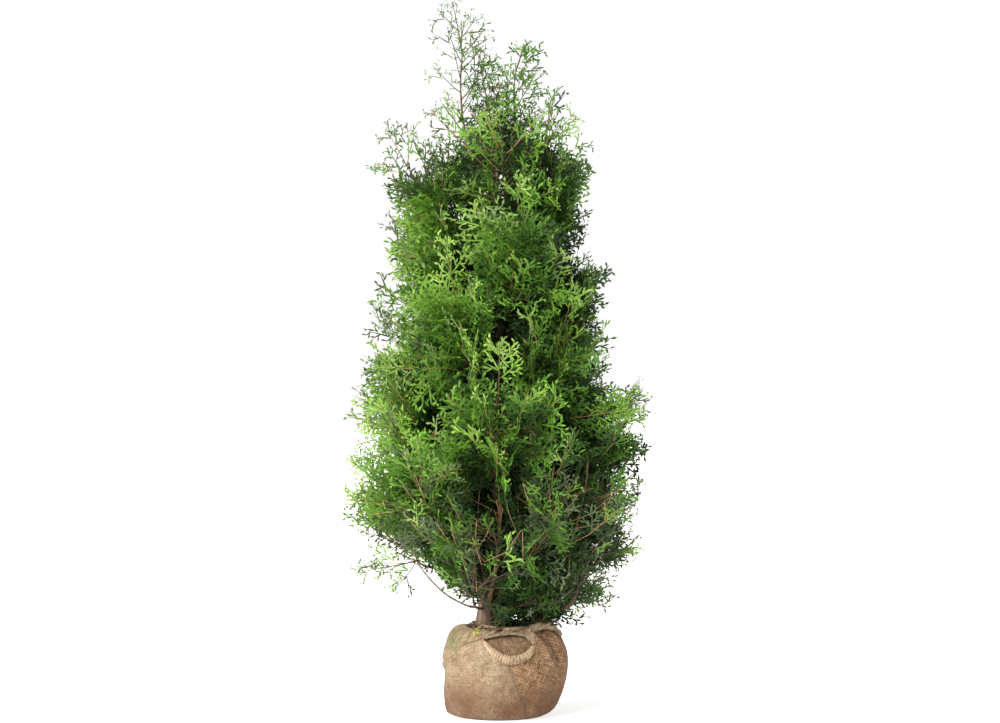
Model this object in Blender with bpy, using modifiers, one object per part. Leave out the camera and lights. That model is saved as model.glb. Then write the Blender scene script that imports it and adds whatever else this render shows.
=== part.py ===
"""A balled thuja: a columnar evergreen with three leaders, standing on its root ball in burlap.

Metres, +Z up. The origin is the middle of the root ball's flat underside, -Y is the front.
The trunk, stems and boughs are tapering tubes. Each mass of foliage is one stem with twigs that
branch by a seeded rule, and with toothed fans, which stand for sprays of scale leaves.
"""

import itertools
import math
import random

import bmesh
import bpy
from mathutils import Matrix, Vector
from mathutils.bvhtree import BVHTree
from mathutils.geometry import interpolate_bezier

UP = Vector((0, 0, 1))
GAP = 0.0003
SEATED = 0.0004

# Root ball and burlap: the ball's outline from its foot up, as (radius, height)
BALL_OUTLINE = [
    (0.110, 0.000),
    (0.129, 0.012),
    (0.142, 0.040),
    (0.150, 0.082),
    (0.151, 0.124),
    (0.147, 0.162),
    (0.136, 0.194),
    (0.117, 0.212),
    (0.095, 0.218),
]
BALL_TOP = BALL_OUTLINE[-1][1]
BALL_SIDES = 22
FOOT_SHIFT = -0.015
FOOT_SHIFT_TOP = 0.10
BURLAP = 0.004
EARTH_GAP = 0.0006
STEM_BASE = BALL_TOP - BURLAP - EARTH_GAP + 0.0004
NECK_RADIUS = 0.0885
NECK_CENTRE = Vector((0.010, 0, 0))
COLLAR_RADIUS = 0.0050
COLLAR_STEPS = 18
WINDOW_CENTRE = 0.008
WINDOW_HALF = 0.058
WINDOW_TOP = 0.198
WINDOW_DROP = 0.048
WINDOW_RISE = 0.008
WINDOW_STEPS = 10
SWAG_RADIUS = 0.0062
KNOT_RADII = (0.0040, 0.0085, 0.0055, 0.0095, 0.0050, 0.0070, 0.0035)
KNOT_ROUTE = [
    (0.040, -0.106, 0.2285),
    (0.074, -0.093, 0.2315),
    (0.106, -0.064, 0.2300),
    (0.124, -0.034, 0.2260),
]

# Crown: height, then how far it reaches to the left and to the right of the ball's middle
CROWN = [
    (0.24, -0.10, 0.17),
    (0.31, -0.17, 0.28),
    (0.37, -0.26, 0.29),
    (0.42, -0.30, 0.35),
    (0.48, -0.41, 0.380),
    (0.65, -0.42, 0.370),
    (0.76, -0.39, 0.385),
    (0.85, -0.37, 0.295),
    (0.95, -0.345, 0.275),
    (1.05, -0.305, 0.245),
    (1.15, -0.290, 0.225),
    (1.25, -0.275, 0.200),
    (1.33, -0.290, 0.205),
    (1.41, -0.240, 0.140),
    (1.48, -0.170, 0.130),
    (1.58, -0.185, 0.115),
    (1.66, -0.165, 0.050),
    (1.755, -0.124, 0.0),
]
CROWN_DEPTH = 0.95

# Stems that are laid by hand: the points they pass through, their radii at the foot and the tip
# and, where they leave the trunk, the height, the bearing and the radius of the foot
TRUNK_ROUTE = [
    (-0.050, 0.000, STEM_BASE),
    (-0.050, 0.000, 0.245),
    (-0.045, 0.000, 0.300),
    (-0.030, 0.004, 0.420),
    (-0.014, 0.000, 0.620),
    (-0.010, -0.006, 0.850),
    (-0.012, 0.000, 1.050),
    (-0.002, 0.004, 1.220),
    (0.017, 0.000, 1.355),
    (0.024, -0.004, 1.450),
]
TRUNK_RADIUS = 0.0175
TRUNK_FLARE = 0.0085
TRUNK_TIP_RADIUS = 0.0036
FLARE_STEPS = (0.006, 0.015)
LOWEST_BOUGH = 0.262
LEADER_FOOT = (1.155, 178, 0.006)
LEADER_RADII = (0.0062, 0.0040)
LEADER_ROUTE = [
    (-0.045, 0.010, 1.186),
    (-0.078, 0.012, 1.245),
    (-0.094, 0.010, 1.330),
    (-0.096, 0.006, 1.415),
]
MIDDLE_FOOT = (1.180, 262, 0.004)
MIDDLE_RADII = (0.0042, 0.0032)
MIDDLE_ROUTE = [
    (-0.018, -0.026, 1.222),
    (-0.028, -0.030, 1.350),
    (-0.035, -0.030, 1.430),
]
RIGHT_STEM_RADII = (0.0105, 0.0052)
RIGHT_STEM_ROUTE = [
    (0.078, 0.012, STEM_BASE),
    (0.078, 0.012, 0.226),
    (0.100, -0.018, 0.275),
    (0.140, -0.052, 0.350),
    (0.162, -0.078, 0.430),
]
SIDE_SHOOT_RADII = (0.0055, 0.0034)
SIDE_SHOOT_ROUTE = [
    (0.078, -0.026, STEM_BASE),
    (0.078, -0.026, 0.230),
    (0.128, -0.038, 0.256),
    (0.165, -0.050, 0.284),
    (0.184, -0.058, 0.331),
]
FRONT_FOOT = (0.285, 290, 0.006)
FRONT_STEM_RADII = (0.0056, 0.0040)
FRONT_STEM_ROUTE = [
    (-0.033, -0.062, 0.312),
    (-0.022, -0.098, 0.380),
    (-0.014, -0.124, 0.460),
    (-0.012, -0.136, 0.530),
]
LOW_BOUGH_FOOT = (LOWEST_BOUGH, 195, 0.005)
LOW_BOUGH_ROUTE = [
    (-0.092, -0.012, 0.268),
    (-0.148, -0.026, 0.300),
    (-0.205, -0.036, 0.362),
]
LOW_BOUGH_RADII = (0.0046, 0.0035, 0.0028)
LOW_BOUGH_BEND = [
    (-0.205, -0.036, 0.362),
    (-0.226, -0.040, 0.410),
    (-0.240, -0.042, 0.452),
]

# Foliage: masses wind up the trunk, each a golden turn from the last
MASSES = 22
LOWEST_MASS = 0.350
HIGHEST_MASS = 1.300
FIRST_BEARING = -28
GOLDEN_TURN = 137.5
CROWDING = 1.30
MASS_HALF = 0.120
MASS_SPREAD = 66
BOUGHS_BELOW = 1.06
HEART_SHARE = 0.52
BOUGH_FOOT_DROP = 0.165
BOUGH_RADIUS = 0.0052
BOUGH_SHARE = 0.28
STEM_RADIUS = 0.0038
STEM_TIP_RADIUS = 0.0022
TWIG_RADIUS = 0.0022
FAN_LENGTH = 0.190
FAN_THICKNESS = 0.0060
SIDE_FAN = 0.80
SHRINKS = (1.0, 0.9, 0.8, 0.7, 0.6, 0.5, 0.4)
ROLLS = (0, 0.7, -0.7, 1.4, -1.4)
CORE = (0.084, 0.050, 0.125)
CORE_PLACE = 0.55
CREST_CORE = 0.70
CREST_CORE_PLACE = 0.62
SPACE_MARGIN = 0.0008
TUBE_SHAPES = {4: 0, 6: 1, 8: 2, 10: 3}

# Rows of sprays in a mass: (how many, height, share of the reach, place on the stem, rise)
ROWS = (
    (2, -0.75, 0.97, 0.04, -0.1),
    (3, -0.05, 1.00, 0.22, 0.4),
    (3, 0.75, 0.96, 0.60, 0.6),
)

# A fan's fingers and the notches between them: (turn in degrees, reach)
FAN_RIM = ((74, 0.46), (56, 0.31), (38, 0.71), (19, 0.45), (0, 0.82))
FAN_PALM = 0.18

# Foliage that climbs a stem of its own: what it springs from (a limb, or a height and a bearing
# on the trunk), the stem's route, how many side fans, the first and last one's length, its radius
CLIMBERS = {
    "low_spray": (
        "bend",
        [(-0.244, -0.052, 0.376), (-0.280, -0.066, 0.370)],
        2,
        0.095,
        0.090,
        0.0024,
    ),
    "left_top": (
        "left_leader",
        [(-0.106, 0.004, 1.480), (-0.110, 0.002, 1.560), (-0.106, 0.0, 1.630), (-0.118, 0.0, 1.700)],
        10,
        0.110,
        0.060,
        0.0040,
    ),
    "middle_top": (
        "middle_leader",
        [(-0.040, -0.028, 1.490), (-0.056, -0.024, 1.570)],
        5,
        0.060,
        0.085,
        0.0032,
    ),
    "right_top": (
        "trunk",
        [(0.022, -0.004, 1.510), (0.024, -0.002, 1.570), (0.031, 0.0, 1.600)],
        7,
        0.105,
        0.052,
        0.0036,
    ),
    "left_shoulder": (
        (1.120, 188),
        [
            (-0.085, -0.012, 1.165),
            (-0.165, -0.024, 1.240),
            (-0.222, -0.030, 1.320),
            (-0.252, -0.030, 1.370),
        ],
        9,
        0.150,
        0.085,
        0.0036,
    ),
    "right_crest": (
        (1.262, 4),
        [(0.055, 0.004, 1.300), (0.088, 0.006, 1.370), (0.108, 0.004, 1.460)],
        8,
        0.140,
        0.090,
        0.0032,
    ),
    "front_crest": (
        (1.235, 292),
        [(0.000, -0.055, 1.265), (-0.006, -0.090, 1.330), (-0.010, -0.096, 1.410)],
        8,
        0.145,
        0.090,
        0.0032,
    ),
    "back_crest": (
        (1.245, 96),
        [(-0.012, 0.055, 1.280), (-0.030, 0.088, 1.350), (-0.036, 0.092, 1.430)],
        8,
        0.145,
        0.090,
        0.0032,
    ),
}


# ------------------------------------------------------------------ scene helpers


def clear_scene():
    for obj in list(bpy.data.objects):
        bpy.data.objects.remove(obj, do_unlink=True)


def new_collection(name):
    made = bpy.data.collections.new(name)
    bpy.context.scene.collection.children.link(made)
    return made


def finish(name, colour, roughness):
    """A plain Principled material."""
    made = bpy.data.materials.new(name)
    made.use_nodes = True
    shader = made.node_tree.nodes["Principled BSDF"]
    shader.inputs["Base Color"].default_value = (*colour, 1)
    shader.inputs["Roughness"].default_value = roughness
    shader.inputs["Metallic"].default_value = 0
    return made


def add_object(name, data, collection, material=None):
    made = bpy.data.objects.new(name, data)
    collection.objects.link(made)
    if material:
        data.materials.clear()
        data.materials.append(material)
    return made


def mesh_from(fill):
    """A mesh from a function that fills a bmesh."""
    shape = bmesh.new()
    fill(shape)
    bmesh.ops.recalc_face_normals(shape, faces=shape.faces)
    made = bpy.data.meshes.new("shape")
    shape.to_mesh(made)
    shape.free()
    return made


def evaluated_mesh(obj):
    """What the object's modifiers or curve make, welded, as a mesh of its own."""
    bpy.context.view_layer.update()
    graph = bpy.context.evaluated_depsgraph_get()
    made = bpy.data.meshes.new_from_object(obj.evaluated_get(graph))
    shape = bmesh.new()
    shape.from_mesh(made)
    bmesh.ops.remove_doubles(shape, verts=shape.verts, dist=1e-6)
    shape.to_mesh(made)
    shape.free()
    return made


# ------------------------------------------------------------------ lines


def smooth_line(points, steps):
    """A smooth line through hand-laid points, with this many steps between neighbours."""
    points = [Vector(p) for p in points]
    line = []
    for i in range(len(points) - 1):
        before = points[max(i - 1, 0)]
        start, end = points[i], points[i + 1]
        after = points[min(i + 2, len(points) - 1)]
        handles = (start + (end - before) / 6, end - (after - start) / 6)
        line += interpolate_bezier(start, *handles, end, steps + 1)[:-1]
    return line + [points[-1]]


def at_height(line, z):
    """The point where a rising line passes a height."""
    for a, b in zip(line, line[1:]):
        if a.z <= z <= b.z:
            return a.lerp(b, (z - a.z) / max(b.z - a.z, 1e-9))
    return line[0].copy() if z < line[0].z else line[-1].copy()


def along(line, share):
    """The point and the direction at a share of a line's length."""
    lengths = [(b - a).length for a, b in zip(line, line[1:])]
    left = share * sum(lengths)
    for (a, b), length in zip(zip(line, line[1:]), lengths):
        if left <= length:
            return a.lerp(b, left / length), (b - a).normalized()
        left -= length
    return line[-1].copy(), (line[-1] - line[-2]).normalized()


def cut_line(line, first, last, steps):
    """The stretch of a line between two shares of its length; it keeps the square start."""
    even = [along(line, first + (last - first) * i / steps)[0] for i in range(steps + 1)]
    return [*line[:2], *even[1:]] if first == 0 else even


def carried_on(limb, line):
    """A stem that starts a gap past a limb's end, straight on, and then follows its line."""
    ahead = (limb[-1] - limb[-2]).normalized()
    return [limb[-1] + ahead * GAP * 1.4, limb[-1] + ahead * 0.012, *line]


def upright(route, steps):
    """A smooth line from hand-laid points whose first stretch stands plumb on the ball."""
    return [Vector(route[0]), *smooth_line(route[1:], steps)]


def tapered(start, end, count, power=1.0):
    return [start + (end - start) * (i / (count - 1)) ** power for i in range(count)]


def bearing(degrees):
    turn = math.radians(degrees)
    return Vector((math.cos(turn), math.sin(turn), 0))


def across(direction, towards):
    """The part of a vector that is square to a direction."""
    rest = towards - direction * towards.dot(direction)
    return rest.normalized() if rest.length > 1e-4 else direction.orthogonal().normalized()


# ------------------------------------------------------------------ crown


def crown_sides(z):
    """How far the crown reaches to the left and right at a height."""
    z = min(max(z, CROWN[0][0]), CROWN[-1][0])
    for low, high in zip(CROWN, CROWN[1:]):
        if z <= high[0]:
            share = (z - low[0]) / (high[0] - low[0])
            return [low[i] + (high[i] - low[i]) * share for i in (1, 2)]
    return list(CROWN[-1][1:])


def crown_middle(z):
    left, right = crown_sides(z)
    return Vector(((left + right) / 2 * 0.5, 0, z))


def crown_reach(z, degrees):
    """How far the crown reaches from its middle at a height, on a bearing."""
    left, right = crown_sides(z)
    middle = crown_middle(z).x
    way = bearing(degrees)
    wide = right - middle if way.x > 0 else middle - left
    deep = (right - left) / 2 * CROWN_DEPTH
    return 1 / math.hypot(way.x / wide, way.y / deep)


def inside_crown(point):
    offset = point - crown_middle(point.z)
    reach = crown_reach(point.z, math.degrees(math.atan2(offset.y, offset.x)))
    return math.hypot(offset.x, offset.y) <= reach and point.z <= CROWN[-1][0]


# ------------------------------------------------------------------ limbs


def tube(name, line, radii, sides, collection, material):
    """A limb: a curve with its own radius at each point and filled caps."""
    curve = bpy.data.curves.new(name, "CURVE")
    curve.dimensions = "3D"
    curve.bevel_depth = 1.0
    curve.bevel_resolution = TUBE_SHAPES[sides]
    curve.use_fill_caps = True
    spline = curve.splines.new("POLY")
    spline.points.add(len(line) - 1)
    for knot, point, radius in zip(spline.points, line, radii):
        knot.co = (*point, 1)
        knot.radius = radius
    return add_object(name, curve, collection, material)


def trunk_radius(z):
    foot, tip = TRUNK_ROUTE[0][2], TRUNK_ROUTE[-1][2]
    share = min(max((z - foot) / (tip - foot), 0), 1)
    flare = TRUNK_FLARE * math.exp(-(z - foot) / 0.018)
    return TRUNK_RADIUS + (TRUNK_TIP_RADIUS - TRUNK_RADIUS) * share**0.9 + flare


def fall(points, direction, tree):
    """How far points can move in a direction before the first of them meets a surface."""
    hits = [tree.ray_cast(point, direction)[3] for point in points]
    return min(hit for hit in hits if hit is not None)


def leaving(trunk, z, degrees, radius):
    """Two points that lead a limb square out of the trunk's bark, on a bearing."""
    axis, bark = trunk
    ahead = (at_height(axis, z + 0.02) - at_height(axis, z - 0.02)).normalized()
    way = across(ahead, bearing(degrees))
    far = at_height(axis, z) + way * 0.06
    side = way.cross(ahead)
    rim = [
        far + (ahead * math.sin(turn) + side * math.cos(turn)) * radius
        for turn in [math.radians(30 * k) for k in range(12)]
    ]
    start = far - way * (fall([far, *rim], -way, bark) - SEATED)
    return [start, start + way * radius * 1.6]


def limb_line(trunk, z, degrees, heart, tip):
    """A limb that leaves the trunk square, sweeps out below its mass and turns up to its tip."""
    start, clear = leaving(trunk, z, degrees, BOUGH_RADIUS)
    reach = (tip - clear).length
    handles = (clear + (clear - start).normalized() * reach * 0.42, tip + (heart - tip) * 0.9)
    return [start] + interpolate_bezier(clear, *handles, tip, 10)


def mass_plan():
    """Every mass round the trunk: its name, bearing, heart, tip, half height and size."""
    plans = []
    for k in range(MASSES):
        share = k / (MASSES - 1)
        z = LOWEST_MASS + (HIGHEST_MASS - LOWEST_MASS) * share**CROWDING
        degrees = FIRST_BEARING + GOLDEN_TURN * k
        reach = crown_reach(z, degrees)
        size = 0.50 + 1.55 * reach
        half = MASS_HALF * (0.55 if k == 0 else 1)
        tip = crown_middle(z + half * 0.5)
        tip = tip + bearing(degrees) * crown_reach(tip.z, degrees) * (HEART_SHARE + 0.12)
        plans.append(
            {
                "name": f"foliage_{k + 1:02d}",
                "degrees": degrees,
                "heart": crown_middle(z) + bearing(degrees) * reach * HEART_SHARE,
                "tip": tip,
                "half": half,
                "size": size,
                "core": (CORE_PLACE, size),
            }
        )
    return plans


# ------------------------------------------------------------------ foliage rule


def spray_to(draw, root, target, length, rise):
    """A flat spray: a twig off the stem, a fan whose tip is the target, one beside it if it rises."""
    outward = across(UP, target - crown_middle(target.z))
    way = ((target - root).normalized() + UP * (rise + draw.uniform(-0.2, 0.2))).normalized()
    face = across(way, outward + UP.cross(outward) * draw.uniform(-1.2, 1.2))
    turn = math.radians(draw.choice((-1, 1)) * draw.uniform(34, 46))
    spray = {
        "root": root,
        "target": target,
        "way": way,
        "face": face,
        "length": min(length, (target - root).length * 0.9),
    }
    if rise > 0:
        spray["side"] = Matrix.Rotation(turn, 3, face) @ way
        spray["place"] = draw.uniform(0.45, 0.6)
    return spray


def end_spray(stem, face, length):
    """The fan that ends a stem."""
    end, ahead = along(stem, 1.0)
    root = end - ahead * 0.006
    return {
        "root": root,
        "target": root + ahead * length,
        "way": ahead,
        "face": across(ahead, face),
        "length": length,
    }


def sprout(plan, stem):
    """The sprays of a mass, by a rule seeded with its name: rows that reach the crown's outline."""
    draw = random.Random(plan["name"])
    heart, half, size = plan["heart"], plan["half"], plan["size"]
    sprays = []
    for count, lift, reach, share, rise in ROWS:
        for k in range(count):
            turn = ((k + 0.5) / count - 0.5) * MASS_SPREAD + draw.uniform(-5, 5)
            z = heart.z + half * (lift + draw.uniform(-0.2, 0.2))
            degrees = plan["degrees"] + turn
            out = crown_reach(z, degrees) * reach * draw.uniform(0.96, 1.0)
            target = crown_middle(z) + bearing(degrees) * out
            long = size * FAN_LENGTH * draw.uniform(0.9, 1.08)
            root = along(stem, share + draw.uniform(0, 0.25))[0]
            sprays.append(spray_to(draw, root, target, long, rise))
    face = bearing(plan["degrees"] + draw.uniform(-50, 50))
    return [*sprays, end_spray(stem, face, size * FAN_LENGTH * 0.8)]


def sprout_leader(plan, stem):
    """The same for a leader: fans that alternate up its stem and shorten to the tip."""
    draw = random.Random(plan["name"])
    count, longest = plan["count"], plan["longest"]
    sprays = []
    for k in range(count):
        share = (k + 0.3) / count
        root, ahead = along(stem, share)
        side = bearing(180 * (k % 2) + draw.uniform(-50, 50) + 90 * (k % 4 == 3))
        way = (ahead + across(ahead, side) * draw.uniform(0.75, 1.05)).normalized()
        length = longest * (1 - 0.42 * share) * draw.uniform(0.9, 1.05)
        sprays.append(
            {
                "root": root,
                "target": root + way * length * 1.2,
                "way": way,
                "face": across(way, bearing(-90 + draw.uniform(-45, 45))),
                "length": length,
            }
        )
    return [*sprays, end_spray(stem, -bearing(90), plan["last"])]


# ------------------------------------------------------------------ foliage solids


def fan_mesh():
    """A fan of pointed fingers, one long, thickest at its palm and sharp at its rim."""
    rim = [(-0.04, 0.035)]
    rim += [
        (FAN_PALM + reach * math.cos(math.radians(turn)), reach * math.sin(math.radians(turn)))
        for turn, reach in FAN_RIM
    ]
    outline = rim + [(x, -y) for x, y in reversed(rim) if y > 0]

    def fill(shape):
        edge = [shape.verts.new((x, y, 0)) for x, y in outline]
        for height in (0.5, -0.5):
            palm = shape.verts.new((FAN_PALM, 0, height))
            for a, b in zip(edge, edge[1:] + edge[:1]):
                shape.faces.new((a, b, palm))

    return mesh_from(fill)


def placed_fan(template, root, direction, face, length):
    """A copy of the fan laid along a direction, with its flat side towards face."""
    width = direction.cross(face)
    frame = Matrix((direction, -width, face)).transposed().to_4x4()
    scale = Matrix.Diagonal((length, length, FAN_THICKNESS, 1))
    made = template.copy()
    made.transform(Matrix.Translation(root) @ frame @ scale)
    return made


def twig_mesh(root, tip, radius):
    """A three-sided tapering twig."""
    way = tip - root
    place = Matrix.Translation((root + tip) / 2) @ way.to_track_quat("Z", "X").to_matrix().to_4x4()

    def fill(shape):
        bmesh.ops.create_cone(
            shape,
            cap_ends=True,
            segments=3,
            radius1=radius,
            radius2=radius * 0.6,
            depth=way.length,
            matrix=place,
        )

    return mesh_from(fill)


def core_mesh(centre, size, lean, outward):
    """The dense heart of a mass: a low-sided spindle, flattened towards the trunk."""
    wide = lean.cross(outward).normalized()
    turn = Matrix((wide, lean.cross(wide), lean)).transposed().to_4x4()

    def fill(shape):
        bmesh.ops.create_uvsphere(
            shape,
            u_segments=6,
            v_segments=4,
            radius=1,
            matrix=Matrix.Translation(centre) @ turn @ Matrix.Diagonal((*size, 1)),
        )

    return mesh_from(fill)


def tree_of(mesh):
    return BVHTree.FromPolygons(
        [v.co.copy() for v in mesh.vertices], [tuple(p.vertices) for p in mesh.polygons]
    )


class Space:
    """The part of the crown that is nearer to one mass's heart than to any other's."""

    def __init__(self, heart, others, limbs, bounded):
        self.bounded = bounded
        self.walls = [((heart + o) / 2, (o - heart).normalized()) for o in others if o != heart]
        self.limbs = limbs

    def holds(self, mesh):
        points = [v.co for v in mesh.vertices]
        for middle, normal in self.walls:
            if any((p - middle).dot(normal) > -SPACE_MARGIN for p in points):
                return False
        if self.bounded and not all(inside_crown(p) for p in points):
            return False
        return not any(tree_of(mesh).overlap(limb) for limb in self.limbs)


def one_body(mesh):
    """Keeps the largest closed piece: loose scraps are dropped and sealed hollows filled."""
    shape = bmesh.new()
    shape.from_mesh(mesh)
    left, islands = set(shape.faces), []
    while left:
        island, front = set(), [left.pop()]
        while front:
            face = front.pop()
            island.add(face)
            near = {f for e in face.edges for f in e.link_faces} & left
            left -= near
            front += list(near)
        islands.append(island)
    islands.sort(key=len)
    bmesh.ops.delete(shape, geom=[f for i in islands[:-1] for f in i], context="FACES")
    shape.to_mesh(mesh)
    shape.free()
    return mesh


def fuse(name, base, others, collection, material):
    """One Boolean union of a base mesh with a collection of pieces, applied."""
    pieces = new_collection(name + "_pieces")
    for mesh in others:
        add_object("piece", mesh, pieces)
    holder = add_object(name + "_base", base, collection)
    union = holder.modifiers.new("union", "BOOLEAN")
    union.operation = "UNION"
    union.operand_type = "COLLECTION"
    union.collection = pieces
    union.solver = "EXACT"
    made = one_body(evaluated_mesh(holder))
    for obj in [holder, *pieces.objects]:
        bpy.data.objects.remove(obj)
    bpy.data.collections.remove(pieces)
    return add_object(name, made, collection, material)


def fitting_fan(template, foot, way, face, length, space, placed):
    """A fan that clears its neighbours, rolled over if it has to be, or nothing."""
    for roll in ROLLS:
        fan = placed_fan(template, foot, way, Matrix.Rotation(roll, 3, way) @ face, length)
        tree = tree_of(fan)
        if space.holds(fan) and not any(tree.overlap(other) for other in placed):
            placed.append(tree)
            return fan
    return None


def spray_pieces(spray, template, space, placed):
    """A spray's twig and fans, shortened until they fit; none if they never do."""
    root, way, face = spray["root"], spray["way"], spray["face"]
    for share in SHRINKS:
        length = spray["length"] * share
        foot = spray["target"] - way * length
        bare = (foot - root).length < 2 * TWIG_RADIUS
        twig = None if bare else twig_mesh(root, foot, TWIG_RADIUS)
        if twig and not space.holds(twig):
            continue
        fan = fitting_fan(template, foot - way * 0.006, way, face, length, space, placed)
        if fan:
            break
    else:
        return []
    pieces = [fan, twig] if twig else [fan]
    if "side" in spray:
        middle = root.lerp(foot, spray["place"]) - spray["side"] * 0.004
        for share in SHRINKS:
            long = spray["length"] * SIDE_FAN * share
            fan = fitting_fan(template, middle, spray["side"], face, long, space, placed)
            if fan:
                return [*pieces, fan]
    return pieces


def fitting_core(plan, stem, space):
    """The core of a dense mass, as large as its space allows."""
    place, size = plan["core"]
    middle, ahead = along(stem, place)
    for share in SHRINKS:
        core = core_mesh(middle, Vector(CORE) * size * share, ahead, bearing(plan["degrees"]))
        if space.holds(core):
            return [core]
    return []


def foliage_mass(plan, stem, space, rule, template, collection, material):
    """A mass as one solid: its stem, twigs, toothed fans and, where it is dense, a core."""
    radii = tapered(plan.get("girth", STEM_RADIUS), STEM_TIP_RADIUS, len(stem))
    holder = tube("stem", stem, radii, 4, collection, None)
    base = evaluated_mesh(holder)
    bpy.data.objects.remove(holder)
    pieces, placed = [], []
    for spray in rule(plan, stem):
        pieces += spray_pieces(spray, template, space, placed)
    if "core" in plan:
        pieces += fitting_core(plan, stem, space)
    return fuse(plan["name"], base, pieces, collection, material)


# ------------------------------------------------------------------ root ball


def ball_profile(inset):
    """The root ball's outline set in square to itself, as (radius, height)."""
    line = [Vector(p) for p in BALL_OUTLINE]
    moved = []
    for i, point in enumerate(line):
        run = line[min(i + 1, len(line) - 1)] - line[max(i - 1, 0)]
        out = Vector((run.y, -run.x)).normalized()
        moved.append(point - out * inset)
    moved[0] = Vector((line[0].x - inset * 0.4, inset))
    moved[-1] = Vector((line[-1].x, BALL_TOP - inset))
    return [tuple(p) for p in moved]


def slump(point):
    """Sets the ball's foot to the left of its belly and makes it a little lumpy."""
    height = point.z / BALL_TOP
    rise = math.sin(math.pi * min(max(height, 0), 1))
    turn = math.atan2(point.y, point.x)
    wide = 1 + 0.016 * rise * math.cos(3 * turn + 0.6) + 0.010 * rise * math.cos(5 * turn - 1)
    shift = FOOT_SHIFT * max(1 - point.z / FOOT_SHIFT_TOP, 0)
    return Vector((point.x * wide + shift, point.y * wide, point.z))


def on_ball(x, z, clear):
    """A point on the front of the burlap, held clear of it."""
    outline = BALL_OUTLINE
    low, high = next((a, b) for a, b in zip(outline, outline[1:]) if z <= b[1])
    radius = low[0] + (high[0] - low[0]) * (z - low[1]) / (high[1] - low[1])
    point = slump(Vector((x, -math.sqrt(radius**2 - x**2), z)))
    run = Vector((high[0] - low[0], high[1] - low[1])).normalized()
    out = Vector((point.x, point.y, 0)).normalized()
    return point + (out * run.y - UP * run.x) * clear


def turned(name, outline, collection):
    """A profile of (radius, height) points spun once round the Z axis, as a mesh."""

    def fill(shape):
        verts = [shape.verts.new((r, 0, z)) for r, z in outline]
        for a, b in zip(verts, verts[1:]):
            shape.edges.new((a, b))

    profile = bpy.data.meshes.new(name)
    shape = bmesh.new()
    fill(shape)
    shape.to_mesh(profile)
    shape.free()
    holder = add_object(name, profile, collection)
    screw = holder.modifiers.new("turn", "SCREW")
    screw.steps = screw.render_steps = BALL_SIDES
    screw.use_merge_vertices = True
    screw.merge_threshold = 1e-6
    made = evaluated_mesh(holder)
    bpy.data.objects.remove(holder)
    return made


def closed_over(mesh, change=None):
    """Fills a mesh's open rims with flat faces and turns its faces out."""
    shape = bmesh.new()
    shape.from_mesh(mesh)
    bmesh.ops.holes_fill(shape, edges=[e for e in shape.edges if e.is_boundary], sides=0)
    bmesh.ops.recalc_face_normals(shape, faces=shape.faces)
    if change:
        for vert in shape.verts:
            vert.co = change(vert.co)
    shape.to_mesh(mesh)
    shape.free()
    return mesh


def root_ball(collection, material):
    """The earth ball, with a flat foot and top."""
    profile = ball_profile(BURLAP + EARTH_GAP)
    mesh = closed_over(turned("ball", profile, collection), slump)
    return add_object("root_ball", mesh, collection, material)


def window_edge():
    """The crescent's lower edge, left to right, as (x, height)."""
    shares = [i / WINDOW_STEPS for i in range(WINDOW_STEPS + 1)]
    return [
        (
            WINDOW_CENTRE + WINDOW_HALF * (2 * share - 1),
            WINDOW_TOP - WINDOW_DROP * math.sin(math.pi * share) ** 0.85,
        )
        for share in shares
    ]


def window_cutter(collection):
    """A crescent that cuts the swag's opening in the front of the burlap."""
    points = window_edge()
    lid = WINDOW_TOP + WINDOW_RISE
    points += [(WINDOW_CENTRE + x, lid) for x in (WINDOW_HALF / 2, -WINDOW_HALF / 2)]

    def fill(shape):
        verts = [shape.verts.new((x, -0.10, z)) for x, z in points]
        face = shape.faces.new(verts)
        grown = bmesh.ops.extrude_face_region(shape, geom=[face])["geom"]
        moved = [g for g in grown if isinstance(g, bmesh.types.BMVert)]
        bmesh.ops.translate(shape, vec=(0, -0.10, 0), verts=moved)

    cutter = add_object("window_cutter", mesh_from(fill), collection)
    cutter.hide_render = True
    cutter.display_type = "WIRE"
    return cutter


def neck_cutter(collection):
    """A round bar that opens the top of the burlap for the stems."""

    def fill(shape):
        bmesh.ops.create_cone(
            shape,
            cap_ends=True,
            segments=BALL_SIDES,
            radius1=NECK_RADIUS,
            radius2=NECK_RADIUS,
            depth=0.04,
            matrix=Matrix.Translation(NECK_CENTRE + UP * BALL_TOP),
        )

    cutter = add_object("neck_cutter", mesh_from(fill), collection)
    cutter.hide_render = True
    cutter.display_type = "WIRE"
    return cutter


def burlap_wrap(collection, cutters, material):
    """The burlap as a thin shell round the ball, open at the neck and in the front swag."""
    outer = closed_over(turned("wrap", ball_profile(0), collection), slump)
    inner = closed_over(turned("hollow", ball_profile(BURLAP), collection), slump)
    hollow = add_object("hollow_cutter", inner, cutters)
    hollow.hide_render = True
    hollow.display_type = "WIRE"
    wrap = add_object("burlap_wrap", outer, collection, material)
    for cutter in (hollow, neck_cutter(cutters), window_cutter(cutters)):
        cut = wrap.modifiers.new(cutter.name, "BOOLEAN")
        cut.operation = "DIFFERENCE"
        cut.object = cutter
    return wrap


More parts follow.
